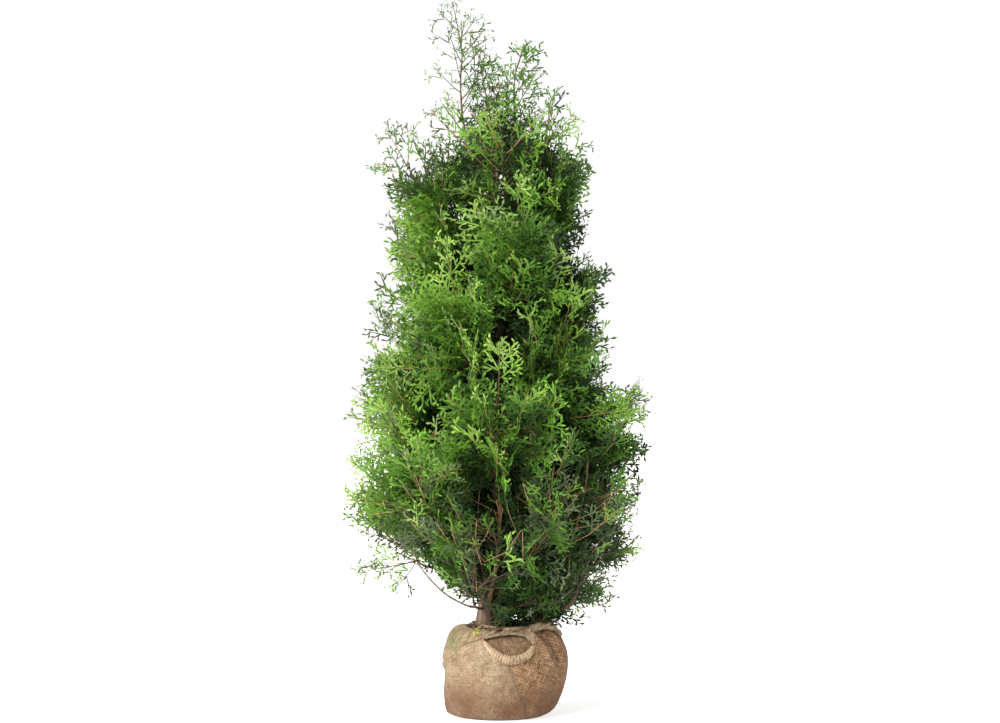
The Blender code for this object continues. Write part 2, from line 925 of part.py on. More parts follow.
def burlap_collar(collection, material):
    """The hem of the burlap, rolled round the stems on top of the ball."""
    below = COLLAR_RADIUS * math.cos(math.radians(30))
    centre = NECK_CENTRE + UP * (BALL_TOP + below + GAP)

    def fill(shape):
        ring = bmesh.ops.create_circle(shape, segments=6, radius=COLLAR_RADIUS)["verts"]
        flat_down = Matrix.Rotation(math.radians(30), 3, "Y")
        upright_turn = flat_down @ Matrix.Rotation(math.pi / 2, 3, "X")
        bmesh.ops.rotate(shape, cent=(0, 0, 0), matrix=upright_turn, verts=ring)
        bmesh.ops.translate(shape, vec=(NECK_RADIUS + COLLAR_RADIUS * 1.2, 0, 0), verts=ring)
        bmesh.ops.spin(
            shape,
            geom=list(shape.verts) + list(shape.edges),
            axis=(0, 0, 1),
            cent=(0, 0, 0),
            steps=COLLAR_STEPS,
            angle=2 * math.pi,
            use_merge=True,
        )
        for vert in shape.verts:
            turn = math.atan2(vert.co.y, vert.co.x)
            swell = 1 + 0.25 * math.sin(5 * turn) + 0.15 * math.sin(8 * turn + 1)
            vert.co.z = (vert.co.z + below) * swell - below
            vert.co += centre

    return add_object("burlap_collar", mesh_from(fill), collection, material)


def seated_tube(name, line, radii, direction, cloth, collection, material):
    """A tube moved along a direction until it lies on the cloth."""
    draft = tube(name, line, radii, 6, collection, material)
    points = [v.co.copy() for v in evaluated_mesh(draft).vertices]
    bpy.data.objects.remove(draft)
    move = direction * (fall(points, direction, cloth) - 2 * SEATED)
    return tube(name, [p + move for p in line], radii, 6, collection, material)


def burlap_swag(cloth, collection, material):
    """The rolled edge of the crescent opening."""
    line = [on_ball(x, z, SWAG_RADIUS + 0.004) for x, z in window_edge()]
    swell = [math.sin(math.pi * i / WINDOW_STEPS) for i in range(WINDOW_STEPS + 1)]
    radii = [SWAG_RADIUS * (0.55 + 0.45 * share) for share in swell]
    way = Vector((0, 1, 0))
    return seated_tube("burlap_swag", line, radii, way, cloth, collection, material)


def burlap_knot(cloth, collection, material):
    """The twisted corner of the cloth, laid over the ball's right shoulder."""
    line = smooth_line(KNOT_ROUTE, 2)
    return seated_tube("burlap_knot", line, KNOT_RADII, -UP, cloth, collection, material)


def main():
    clear_scene()
    plant = new_collection("balled_thuja")
    cutters = new_collection("cutters")
    bark = finish("bark", (0.17, 0.10, 0.065), 0.85)
    young_bark = finish("young_bark", (0.30, 0.13, 0.06), 0.7)
    green = finish("scale_leaves", (0.075, 0.20, 0.035), 0.55)
    burlap = finish("burlap", (0.42, 0.28, 0.15), 0.95)
    earth = finish("earth", (0.12, 0.08, 0.05), 0.95)

    root_ball(plant, earth)
    cloth = tree_of(evaluated_mesh(burlap_wrap(plant, cutters, burlap)))
    burlap_collar(plant, burlap)
    burlap_swag(cloth, plant, burlap)
    burlap_knot(cloth, plant, burlap)

    axis = upright(TRUNK_ROUTE, 2)
    axis[1:1] = [at_height(axis, axis[0].z + rise) for rise in FLARE_STEPS]
    limbs = {
        "trunk": tube("trunk", axis, [trunk_radius(p.z) for p in axis], 10, plant, bark),
    }

    stock = (axis, tree_of(evaluated_mesh(limbs["trunk"])))

    def lay(name, line, thick, thin, sides=6, material=young_bark):
        limbs[name] = tube(name, line, tapered(thick, thin, len(line)), sides, plant, material)
        return line

    leader = leaving(stock, *LEADER_FOOT) + smooth_line(LEADER_ROUTE, 2)
    lay("left_leader", leader, *LEADER_RADII, 8, bark)
    middle = leaving(stock, *MIDDLE_FOOT) + smooth_line(MIDDLE_ROUTE, 2)
    lay("middle_leader", middle, *MIDDLE_RADII)
    lay("right_stem", upright(RIGHT_STEM_ROUTE, 2), *RIGHT_STEM_RADII, 8, bark)
    lay("side_shoot", upright(SIDE_SHOOT_ROUTE, 2), *SIDE_SHOOT_RADII)
    front = leaving(stock, *FRONT_FOOT) + smooth_line(FRONT_STEM_ROUTE, 2)
    lay("front_stem", front, *FRONT_STEM_RADII)
    low = leaving(stock, *LOW_BOUGH_FOOT) + smooth_line(LOW_BOUGH_ROUTE, 2)
    lay("low_bough", low, LOW_BOUGH_RADII[0], LOW_BOUGH_RADII[1])
    bend = smooth_line(LOW_BOUGH_BEND, 2)
    bend[0] = bend[0] + (bend[1] - bend[0]).normalized() * 3 * GAP
    lay("low_bough_bend", bend, LOW_BOUGH_RADII[1], LOW_BOUGH_RADII[2])

    aside = across((bend[2] - bend[0]).normalized(), Vector((-1, -0.3, 0)))
    ends = {
        "bend": [bend[1], bend[1] + aside * LOW_BOUGH_RADII[1]],
        "left_leader": leader,
        "middle_leader": middle,
        "trunk": axis,
    }
    plans = mass_plan()
    for plan in plans:
        foot = max(plan["heart"].z - BOUGH_FOOT_DROP, LOWEST_BOUGH)
        line = limb_line(stock, foot, plan["degrees"], plan["heart"], plan["tip"])
        if plan["heart"].z < BOUGHS_BELOW:
            bough = cut_line(line, 0, BOUGH_SHARE, 3)
            lay(plan["name"].replace("foliage", "bough"), bough, BOUGH_RADIUS, STEM_RADIUS)
            plan["stem"] = carried_on(bough, cut_line(line, BOUGH_SHARE, 1, 3)[1:])
        else:
            plan["stem"] = cut_line(line, 0, 1, 4)
    for name, (springs, route, count, longest, last, girth) in CLIMBERS.items():
        if springs in ends:
            stem = carried_on(ends[springs], smooth_line(route, 1))
        else:
            stem = [*leaving(stock, *springs, girth), *smooth_line(route, 1)]
        plan = {
            "name": name,
            "stem": stem,
            "heart": along(stem, CREST_CORE_PLACE)[0],
            "count": count,
            "longest": longest,
            "last": last,
            "girth": girth,
        }
        if springs not in ends:
            plan["degrees"] = springs[1]
            plan["core"] = (CREST_CORE_PLACE, CREST_CORE)
        plans.append(plan)
    hearts = [p["heart"] for p in plans]
    trees = {name: tree_of(evaluated_mesh(limb)) for name, limb in limbs.items()}
    template = fan_mesh()
    for plan in plans:
        rounded = "size" in plan
        space = Space(plan["heart"], hearts, trees.values(), rounded)
        rule = sprout if rounded else sprout_leader
        foliage_mass(plan, plan["stem"], space, rule, template, plant, green)


main()
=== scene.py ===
import math
import random

import bmesh
import bpy
import numpy as np
from mathutils import Matrix, Vector, noise
from mathutils.geometry import interpolate_bezier


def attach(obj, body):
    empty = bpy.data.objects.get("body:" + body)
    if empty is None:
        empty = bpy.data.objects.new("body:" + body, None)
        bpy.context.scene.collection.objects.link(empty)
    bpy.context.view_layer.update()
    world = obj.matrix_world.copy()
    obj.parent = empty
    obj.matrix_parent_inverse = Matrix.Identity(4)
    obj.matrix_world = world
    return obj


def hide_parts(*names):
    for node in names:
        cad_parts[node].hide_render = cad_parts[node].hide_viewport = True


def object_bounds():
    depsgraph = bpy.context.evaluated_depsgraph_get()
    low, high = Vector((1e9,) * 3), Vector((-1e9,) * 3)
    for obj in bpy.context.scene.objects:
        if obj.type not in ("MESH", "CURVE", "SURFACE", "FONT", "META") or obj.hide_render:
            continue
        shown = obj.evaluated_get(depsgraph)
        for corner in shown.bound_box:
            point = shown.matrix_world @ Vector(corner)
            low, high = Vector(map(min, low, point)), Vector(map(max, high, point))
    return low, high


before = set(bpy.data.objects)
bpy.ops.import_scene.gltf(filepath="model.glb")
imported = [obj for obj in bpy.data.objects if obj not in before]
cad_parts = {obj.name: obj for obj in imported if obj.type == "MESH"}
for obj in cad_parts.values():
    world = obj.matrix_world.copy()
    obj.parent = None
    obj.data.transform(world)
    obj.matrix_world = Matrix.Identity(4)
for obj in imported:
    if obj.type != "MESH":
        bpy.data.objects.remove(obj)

cad_box = [list(corner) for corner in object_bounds()]
cad_low, cad_high = (np.array(corner) for corner in cad_box)
UP = Vector((0, 0, 1))

# ------------------------------------------------------------------ sizes, in metres

# Root ball: the burlap's outline from its foot up, as (radius, height)
BALL_OUTLINE = [
    (0.110, 0.000), (0.129, 0.012), (0.142, 0.040), (0.150, 0.082), (0.151, 0.124),
    (0.147, 0.162), (0.136, 0.194), (0.117, 0.212), (0.095, 0.218),
]
BALL_TOP = BALL_OUTLINE[-1][1]
# Its foot is pushed to the left by this much, less and less up to this height
FOOT_SHIFT = -0.015
FOOT_SHIFT_TOP = 0.10
# Where the trunk and the stems stand on the earth
STEM_BASE = 0.2138

# Crown: height, then how far it reaches to the left and to the right of the ball's middle
CROWN = [
    (0.24, -0.10, 0.17), (0.31, -0.17, 0.28), (0.37, -0.26, 0.29), (0.42, -0.30, 0.35),
    (0.48, -0.41, 0.380), (0.65, -0.42, 0.370), (0.76, -0.39, 0.385), (0.85, -0.37, 0.295),
    (0.95, -0.345, 0.275), (1.05, -0.305, 0.245), (1.15, -0.290, 0.225), (1.25, -0.275, 0.200),
    (1.33, -0.290, 0.205), (1.41, -0.240, 0.140), (1.48, -0.170, 0.130), (1.58, -0.185, 0.115),
    (1.66, -0.165, 0.050), (1.755, -0.124, 0.0),
]
# Its depth is this share of its width
CROWN_DEPTH = 0.95

# Stems laid one by one: the points they pass through
TRUNK_ROUTE = [
    (-0.050, 0.000, STEM_BASE), (-0.050, 0.000, 0.245), (-0.045, 0.000, 0.300),
    (-0.030, 0.004, 0.420), (-0.014, 0.000, 0.620), (-0.010, -0.006, 0.850),
    (-0.012, 0.000, 1.050), (-0.002, 0.004, 1.220), (0.017, 0.000, 1.355), (0.024, -0.004, 1.450),
]
TRUNK_RADIUS = 0.0175
TRUNK_FLARE = 0.0085
FLARE_HEIGHT = 0.018
TRUNK_TIP_RADIUS = 0.0036
LOWEST_BOUGH = 0.262
STEM_ROUTES = {
    "left_leader": [
        (-0.045, 0.010, 1.186), (-0.078, 0.012, 1.245), (-0.094, 0.010, 1.330), (-0.096, 0.006, 1.415),
    ],
    "middle_leader": [(-0.018, -0.026, 1.222), (-0.028, -0.030, 1.350), (-0.035, -0.030, 1.430)],
    "right_stem": [
        (0.078, 0.012, STEM_BASE), (0.078, 0.012, 0.226), (0.100, -0.018, 0.275),
        (0.140, -0.052, 0.350), (0.162, -0.078, 0.430),
    ],
    "side_shoot": [
        (0.078, -0.026, STEM_BASE), (0.078, -0.026, 0.230), (0.128, -0.038, 0.256),
        (0.165, -0.050, 0.284), (0.184, -0.058, 0.331),
    ],
    "front_stem": [
        (-0.033, -0.062, 0.312), (-0.022, -0.098, 0.380),
        (-0.014, -0.124, 0.460), (-0.012, -0.136, 0.530),
    ],
    "low_bough": [
        (-0.092, -0.012, 0.268), (-0.148, -0.026, 0.300), (-0.205, -0.036, 0.362),
        (-0.226, -0.040, 0.410), (-0.240, -0.042, 0.452),
    ],
}
# Where a stem leaves the trunk, as (height, bearing), and its radius at the foot and at the tip
STEM_FEET = {
    "left_leader": ((1.155, 178), 0.0062, 0.0040),
    "middle_leader": ((1.180, 262), 0.0042, 0.0032),
    "right_stem": (None, 0.0105, 0.0052),
    "side_shoot": (None, 0.0055, 0.0034),
    "front_stem": ((0.285, 290), 0.0056, 0.0040),
    "low_bough": ((LOWEST_BOUGH, 195), 0.0028, 0.0015),
}

# Foliage: masses wind up the trunk, each a golden turn from the last and crowded to its foot
MASSES = 22
LOWEST_MASS = 0.350
HIGHEST_MASS = 1.300
FIRST_BEARING = -28
GOLDEN_TURN = 137.5
CROWDING = 1.30
# A mass: half its height, the degrees that its fronds spread over, and how far out its heart and
# its bough's tip lie, as shares of the crown's reach
MASS_HALF = 0.120
LOWEST_MASS_SHARE = 0.55
MASS_SPREAD = 66
HEART_SHARE = 0.52
TIP_PAST_HEART = 0.12
# Its bough leaves the trunk this far below it
BOUGH_FOOT_DROP = 0.165
BOUGH_RADIUS = 0.0052
STEM_TIP_RADIUS = 0.0022
# A frond's length in a mass of size 1, and a side frond's as a share of the main one's
FAN_LENGTH = 0.190
SIDE_FAN = 0.80
SIDE_FAN_DEGREES = (34, 46)
# Rows of fronds in a mass: (how many, height, share of the reach, place on the stem, rise)
ROWS = ((3, -0.75, 0.97, 0.04, -0.1), (4, -0.05, 1.00, 0.22, 0.4), (4, 0.75, 0.96, 0.60, 0.6))

# Leaders bear leaves above this height
LEADER_LEAVES = 1.270
# How much the fronds of the leaders crowd towards their feet: 1 is evenly spaced
LEADER_CROWDED = 1.45
# Foliage that climbs a stem of its own: what it springs from (a stem's name, or a height and a
# bearing on the trunk), its route, how many fronds, the longest and the last one's length, and
# its stem's radius
CLIMBERS = {
    "low_spray": (
        "low_bough", [(-0.244, -0.052, 0.376), (-0.280, -0.066, 0.370)], 3, 0.095, 0.090, 0.0020,
    ),
    "left_top": (
        "left_leader",
        [(-0.106, 0.004, 1.480), (-0.110, 0.002, 1.560), (-0.106, 0.0, 1.630), (-0.118, 0.0, 1.700)],
        18, 0.110, 0.060, 0.0040,
    ),
    "middle_top": (
        "middle_leader", [(-0.040, -0.028, 1.490), (-0.056, -0.024, 1.570)], 7, 0.078, 0.080, 0.0032,
    ),
    "right_top": (
        "trunk", [(0.022, -0.004, 1.510), (0.024, -0.002, 1.570), (0.031, 0.0, 1.600)],
        8, 0.102, 0.050, 0.0036,
    ),
    "left_shoulder": (
        (1.120, 188),
        [
            (-0.085, -0.012, 1.165), (-0.165, -0.024, 1.240),
            (-0.222, -0.030, 1.320), (-0.252, -0.030, 1.370),
        ],
        11, 0.150, 0.085, 0.0036,
    ),
    "right_crest": (
        (1.262, 4), [(0.055, 0.004, 1.300), (0.088, 0.006, 1.370), (0.108, 0.004, 1.460)],
        8, 0.135, 0.085, 0.0032,
    ),
    "front_crest": (
        (1.235, 292), [(0.000, -0.055, 1.265), (-0.006, -0.090, 1.330), (-0.010, -0.096, 1.410)],
        18, 0.150, 0.100, 0.0032,
    ),
    "back_crest": (
        (1.245, 96), [(-0.012, 0.055, 1.280), (-0.030, 0.088, 1.350), (-0.036, 0.092, 1.430)],
        16, 0.150, 0.100, 0.0032,
    ),
}

# ------------------------------------------------------------------ lines


def smooth_line(points, steps):
    """A smooth line through given points, with this many steps between neighbours."""
    points = [Vector(p) for p in points]
    line = []
    for i in range(len(points) - 1):
        before, start, end = points[max(i - 1, 0)], points[i], points[i + 1]
        after = points[min(i + 2, len(points) - 1)]
        handles = (start + (end - before) / 6, end - (after - start) / 6)
        line += interpolate_bezier(start, *handles, end, steps + 1)[:-1]
    return line + [points[-1]]


def at_height(line, z):
    """The point where a rising line passes a height."""
    for a, b in zip(line, line[1:]):
        if a.z <= z <= b.z:
            return a.lerp(b, (z - a.z) / max(b.z - a.z, 1e-9))
    return line[0].copy() if z < line[0].z else line[-1].copy()


def along(line, share):
    """The point and the direction at a share of a line's length."""
    lengths = [(b - a).length for a, b in zip(line, line[1:])]
    left = share * sum(lengths)
    for (a, b), length in zip(zip(line, line[1:]), lengths):
        if left <= length:
            return a.lerp(b, left / length), (b - a).normalized()
        left -= length
    return line[-1].copy(), (line[-1] - line[-2]).normalized()


def line_length(line):
    """The length of a line, from point to point."""
    return sum((b - a).length for a, b in zip(line, line[1:]))


def bearing(degrees):
    """The level direction at a number of degrees from X towards Y."""
    turn = math.radians(degrees)
    return Vector((math.cos(turn), math.sin(turn), 0))


def across(direction, towards):
    """The part of a vector that is square to a direction."""
    rest = towards - direction * towards.dot(direction)
    return rest.normalized() if rest.length > 1e-4 else direction.orthogonal().normalized()


# ------------------------------------------------------------------ crown


def crown_sides(z):
    """How far the crown reaches to the left and right at a height."""
    z = min(max(z, CROWN[0][0]), CROWN[-1][0])
    for low, high in zip(CROWN, CROWN[1:]):
        if z <= high[0]:
            share = (z - low[0]) / (high[0] - low[0])
            return [low[i] + (high[i] - low[i]) * share for i in (1, 2)]
    return list(CROWN[-1][1:])


def crown_middle(z):
    """A point of the crown's middle line, which leans half as far as the middle of its outline."""
    left, right = crown_sides(z)
    return Vector(((left + right) / 2 * 0.5, 0, z))


def crown_reach(z, degrees):
    """How far the crown reaches from its middle at a height, on a bearing."""
    left, right = crown_sides(z)
    middle = crown_middle(z).x
    way = bearing(degrees)
    wide = right - middle if way.x > 0 else middle - left
    deep = (right - left) / 2 * CROWN_DEPTH
    return 1 / math.hypot(way.x / wide, way.y / deep)


def crown_depth(point):
    """1 on the crown's outline, 0 on its middle line, above 1 outside."""
    offset = point - crown_middle(point.z)
    reach = crown_reach(point.z, math.degrees(math.atan2(offset.y, offset.x)))
    return math.hypot(offset.x, offset.y) / max(reach, 0.01)


# ------------------------------------------------------------------ limbs


def trunk_radius(z):
    """The trunk's radius at a height: a near even taper, and a flare at the foot."""
    foot, tip = TRUNK_ROUTE[0][2], TRUNK_ROUTE[-1][2]
    share = min(max((z - foot) / (tip - foot), 0), 1)
    flare = TRUNK_FLARE * math.exp(-(z - foot) / FLARE_HEIGHT)
    return TRUNK_RADIUS + (TRUNK_TIP_RADIUS - TRUNK_RADIUS) * share**0.9 + flare


def leaving(axis, z, degrees, radius):
    """Points that lead a limb square out of the trunk, from inside its bark."""
    ahead = (at_height(axis, z + 0.02) - at_height(axis, z - 0.02)).normalized()
    way = across(ahead, bearing(degrees))
    start = at_height(axis, z)
    bark = trunk_radius(z)
    return [start + way * bark * 0.5, start + way * (bark + radius * 1.6)]


def limb_line(axis, z, degrees, heart, tip):
    """A limb that leaves the trunk square, sweeps out below its mass and turns up to its tip."""
    start, clear = leaving(axis, z, degrees, BOUGH_RADIUS)
    reach = (tip - clear).length
    handles = (clear + (clear - start).normalized() * reach * 0.42, tip + (heart - tip) * 0.9)
    return [start] + interpolate_bezier(clear, *handles, tip, 14)


def mass_plans():
    """Every mass round the trunk: its name, bearing, heart, tip, half height and size."""
    plans = []
    for k in range(MASSES):
        share = k / (MASSES - 1)
        z = LOWEST_MASS + (HIGHEST_MASS - LOWEST_MASS) * share**CROWDING
        degrees = FIRST_BEARING + GOLDEN_TURN * k
        reach = crown_reach(z, degrees)
        half = MASS_HALF * (LOWEST_MASS_SHARE if k == 0 else 1)
        tip = crown_middle(z + half * 0.5)
        tip = tip + bearing(degrees) * crown_reach(tip.z, degrees) * (HEART_SHARE + TIP_PAST_HEART)
        plans.append(
            {
                "name": f"foliage_{k + 1:02d}",
                "degrees": degrees,
                "heart": crown_middle(z) + bearing(degrees) * reach * HEART_SHARE,
                "tip": tip,
                "half": half,
                "size": 0.50 + 1.55 * reach,
            }
        )
    return plans


# ------------------------------------------------------------------ foliage rule


def frond_to(draw, root, target, length, rise):
    """A frond from a stem to a target, and beside a rising one another: root, knee, tip and face."""
    outward = across(UP, target - crown_middle(target.z))
    way = ((target - root).normalized() + UP * (rise + draw.uniform(-0.2, 0.2))).normalized()
    face = across(way, outward + UP.cross(outward) * draw.uniform(-1.2, 1.2))
    turn = math.radians(draw.choice((-1, 1)) * draw.uniform(*SIDE_FAN_DEGREES))
    length = min(length, (target - root).length * 0.9)
    fronds = [(root, target - way * length, target, face)]
    if rise > 0:
        side = Matrix.Rotation(turn, 3, face) @ way
        middle = root.lerp(target - way * length, draw.uniform(0.45, 0.6))
        fan = side * length
        fronds.append((middle, middle + fan * 0.3, middle + fan * SIDE_FAN, face))
    return fronds


def sprout(plan, stem, layer, least, most):
    """The fronds of a mass, by a rule seeded with its name, for one layer of the crown."""
    draw = random.Random(plan["name"] + layer)
    heart, half, size = plan["heart"], plan["half"], plan["size"]
    fronds = []
    for count, lift, reach, share, rise in ROWS:
        for k in range(count):
            turn = ((k + 0.5) / count - 0.5) * MASS_SPREAD + draw.uniform(-8, 8)
            z = heart.z + half * (lift + draw.uniform(-0.3, 0.3))
            degrees = plan["degrees"] + turn
            out = crown_reach(z, degrees) * reach * (least + (most - least) * draw.random() ** 1.4)
            target = crown_middle(z) + bearing(degrees) * out
            root = along(stem, share + draw.uniform(0, 0.25))[0]
            length = size * FAN_LENGTH * draw.uniform(0.9, 1.08)
            fronds += frond_to(draw, root, target, length, rise)
    end, ahead = along(stem, 1.0)
    face = across(ahead, bearing(plan["degrees"] + draw.uniform(-50, 50)))
    long = size * FAN_LENGTH * 0.8
    return [*fronds, (end, end + ahead * long * 0.5, end + ahead * long, face)]


def sprout_leader(plan, stem):
    """The same for a leader: fronds that alternate up its stem and shorten to the tip."""
    draw = random.Random(plan["name"])
    fronds = []
    for k in range(plan["count"]):
        share = ((k + 0.3) / plan["count"]) ** plan["crowded"]
        root, ahead = along(stem, share)
        side = bearing(180 * (k % 2) + draw.uniform(-50, 50) + 90 * (k % 4 == 3))
        way = (ahead + across(ahead, side) * draw.uniform(0.75, 1.05)).normalized()
        length = plan["longest"] * (1 - 0.42 * share) * draw.uniform(0.8, 1.15) * 1.2
        face = across(way, bearing(-90 + draw.uniform(-45, 45)))
        knee = root + (way + side * 0.3).normalized() * length * 0.4
        fronds.append((root, knee, root + way * length, face))
    end, ahead = along(stem, 1.0)
    long = plan["last"]
    return [*fronds, (end, end + ahead * long * 0.5, end + ahead * long, across(ahead, -bearing(90)))]


# ------------------------------------------------------------------ sprays of scale leaves

# How far a frond's tip and a whole spray may stand past the solids' box
PROUD = 0.021
FARTHEST = 0.029
# How far left the lowest foliage hangs, as (height, left): the low bough runs bare below it
SKIRT = (
    (0.250, -0.060), (0.280, -0.095), (0.311, -0.118), (0.343, -0.152),
    (0.393, -0.196), (0.417, -0.235), (0.440, -0.300), (0.470, -0.420),
)
# Low fronds between the crown and the ball: how many, the box their tips lie in, what they spring from
# and their range of tones; the darkest ranges, for the rows low inside under the crown, are painted
# shade
LOW_FRONDS = (
    (
        90, ((-0.020, -0.080, 0.232), (0.125, 0.085, 0.320)),
        ("trunk", "right_stem", "side_shoot"), (-0.55, -0.15),
    ),
    (8, ((0.150, -0.100, 0.236), (0.262, 0.100, 0.320)), ("right_stem", "side_shoot"), (-0.20, 0.25)),
    (12, ((0.245, -0.110, 0.375), (0.335, 0.060, 0.460)), ("right_stem", "side_shoot"), (-0.25, 0.15)),
    (11, ((-0.378, -0.110, 0.462), (-0.310, 0.040, 0.545)), ("trunk",), (-0.30, 0.10)),
    (14, ((-0.110, -0.210, 0.450), (0.000, -0.120, 0.580)), ("front_stem",), (-0.15, 0.25)),
    (30, ((-0.105, -0.130, 0.290), (-0.005, -0.030, 0.385)), ("trunk",), (-0.50, -0.05)),
)
FROND_TONES = (-0.24, 0.34)
# A low frond springs from whichever of its stems is nearest to its tip at this height
NEAREST_AT = 0.26
# Where the spray at the low bough's end leaves it
LOW_BOUGH_FORK = Vector((-0.213, -0.038, 0.382))
# Fine shoots that climb bare among the low leaves
FINE_SHOOTS = (
    [(-0.044, -0.014, 0.300), (-0.058, -0.070, 0.380), (-0.066, -0.112, 0.470), (-0.062, -0.140, 0.560)],
    [(0.162, -0.078, 0.430), (0.180, -0.106, 0.500), (0.196, -0.128, 0.580), (0.200, -0.136, 0.640)],
    [(-0.030, 0.002, 0.430), (-0.120, -0.062, 0.450), (-0.188, -0.112, 0.510), (-0.206, -0.136, 0.630)],
    [(0.030, -0.060, 0.400), (0.034, -0.110, 0.470), (0.028, -0.150, 0.560), (0.030, -0.160, 0.640)],
)
# The gaps in the leaves before them and before the front stem: how high, and half their widths
SHOOTS_SEEN_TO = 0.66
GAP_HALF = 0.011
STEM_GAP_HALF = 0.018
# The share of the sprays in such a gap that are left out
GAP_CLEARED = 0.93
# Layers of a mass: how far their fronds reach, as shares of the crown's outline
LAYERS = (("outer", 0.76, 1.03), ("inner", 0.56, 0.80))
INNER_SPRAYS = 120

# A spray's axis, its side twigs and the leafy straps on them: their spacing and their widths
TWIG_STEP = 0.0098
STRAP_STEP = 0.0096
STRAP_WIDTH = 0.0054
INNER_WIDTH = 0.0064
TOP_WIDTH = 0.0052
AXIS_WIDTH = 0.0042
# A side twig's angle to its axis, in degrees
TWIG_DEGREES = 52
# Where a strap and an axis or a side twig are widest, as shares of their lengths
WIDEST_STRAP = 0.60
WIDEST_STEM = 0.30
# Sprays come in three lengths, in a kind with wider straps for the shade inside and in an open
# kind for the tips of the left and middle leaders, each as (length, strap width, twig spacing)
SPRAY_LENGTHS = (0.045, 0.075, 0.112)
SPRAY_KINDS = (
    *((length, STRAP_WIDTH, TWIG_STEP) for length in SPRAY_LENGTHS),
    (SPRAY_LENGTHS[-1], INNER_WIDTH, TWIG_STEP),
    (SPRAY_LENGTHS[1], TOP_WIDTH, TWIG_STEP * 1.8),
)
INNER_KIND, OPEN_KIND = 3, 4
# The open kind grows above this height and left of this line
OPEN_ABOVE = 1.50
OPEN_LEFT_OF = -0.020
# How many shapes of each kind there are
SHAPES_EACH = 6
# A frond's own twig, from its foot to its tip, and the spacing of its sprays
TWIG_RADII = (0.0018, 0.0007)
SPRAY_STEP = 0.020
LONGEST_SPRAY = 0.118
# Nothing hangs lower than the ball's top, and before the window in the cloth it ends higher still
LOWEST_SPRAY = 0.218
LOWEST_AT_WINDOW = 0.242
# Sprays of the low fronds don't point down below this height
LEVEL_BELOW = 0.30
# How far out a spray may reach, as a share of the crown's outline
OUTERMOST = 1.08
# Low down the crown is thinned: below this height and outside this share of its outline
THINNED_BELOW = 0.62
THINNED_OUTSIDE = 0.72


def kite(points, faces, foot, way, normal, length, width, widest=WIDEST_STRAP):
    """A strap of two faces, widest at a share of its length."""
    side = np.cross(normal, way)
    first = len(points)
    shoulder = foot + way * length * widest
    points += [foot, shoulder + side * width / 2, foot + way * length, shoulder - side * width / 2]
    faces += [(first, first + 3, first + 2), (first, first + 2, first + 1)]


def turn_in_plane(way, normal, degrees):
    """A direction turned about a normal that is square to it."""
    angle = math.radians(degrees)
    return way * math.cos(angle) + np.cross(normal, way) * math.sin(angle)


def spray_shape(draw, size, width, twig_step):
    """A flat spray: an axis, alternate side twigs and their alternate scaly straps.

    It is laid out in metres along X and given as shares of its length, bowed and hanging a little.
    """
    points, faces = [], []
    x, flat = np.array((1.0, 0, 0)), np.array((0, 0, 1.0))
    kite(points, faces, np.zeros(3), x, flat, size, AXIS_WIDTH, WIDEST_STEM)
    count = int(size * 0.82 / twig_step)
    for k in range(count):
        share = 0.10 + 0.80 * (k + draw.uniform(-0.25, 0.25)) / max(count - 1, 1)
        side = 1 if k % 2 else -1
        way = turn_in_plane(x, flat, side * (TWIG_DEGREES - 16 * share + draw.uniform(-9, 9)))
        long = 0.40 * size * max(1 - share, 0) ** 0.8 * min(1, 0.45 + share * 2.5) + 0.010
        long *= draw.uniform(0.7, 1.2)
        tilt = np.array((draw.uniform(-0.25, 0.25), draw.uniform(-0.35, 0.35), 1.0))
        normal = tilt / np.linalg.norm(tilt)
        foot = x * share * size
        kite(points, faces, foot, way, normal, long, width * 0.95, WIDEST_STEM)
        for j in range(int(max(long - 0.008, 0) / STRAP_STEP) + (long > 0.013)):
            up_twig = min(0.24 + STRAP_STEP / long * j, 0.85)
            hand = 1 if j % 2 else -1
            twist = np.array((draw.uniform(-0.5, 0.5), draw.uniform(-0.5, 0.5), 1.0))
            strap_face = twist / np.linalg.norm(twist)
            strap = turn_in_plane(way, flat, hand * (40 + draw.uniform(-10, 10)))
            reach = (0.0120 + 0.010 * (1 - up_twig)) * draw.uniform(0.75, 1.3)
            kite(points, faces, foot + way * long * up_twig, strap, strap_face, reach, width)
    points = np.array(points) / size
    bow, hang = draw.uniform(-0.30, 0.22), draw.uniform(-0.12, 0.12)
    points[:, 2] += bow * points[:, 0] ** 2 - 0.30 * points[:, 1] ** 2
    points[:, 1] += hang * points[:, 0] ** 2
    return points, np.array(faces)


# Deep leaf and shade leaf go to sprays deep in the crown, at its right and at its foot: painted shade
TINTS = {
    "fresh_tip": (0.245, 0.402, 0.080),
    "bright_leaf": (0.205, 0.380, 0.050),
    "leaf": (0.145, 0.310, 0.034),
    "mid_leaf": (0.095, 0.220, 0.027),
    "deep_leaf": (0.048, 0.116, 0.017),
    "shade_leaf": (0.019, 0.046, 0.009),
    "grey_leaf": (0.092, 0.126, 0.058),
    # Pale leaf is a painted sheen: the paler, greyer green of the most lit sprays
    "pale_leaf": (0.250, 0.370, 0.120),
    "rusty_leaf": (0.200, 0.140, 0.045),
}
# The twigs' two barks, and whether they are those of the greyer parts
TWIG_BARKS = (
    ("twigs", (0.40, 0.230, 0.118), False),
    ("grey_twigs", (0.150, 0.118, 0.078), True),
)
# A piece of foliage holds at most this many triangles
MOST_FACES = 190000
# The greens by how fresh a spray is, with painted light and shade mixed in, and above them bright leaf,
# pale leaf with painted sheen, and fresh tip
GREENS_BY_FRESHNESS_AND_LIGHT = ((0.58, "shade_leaf"), (0.72, "deep_leaf"), (0.88, "mid_leaf"), (1.06, "leaf"))
PALE_FROM = 1.12
PALE_SHARE = 0.24
FRESH_TIP_FROM = 1.24
RUSTY_SHARE = 0.004
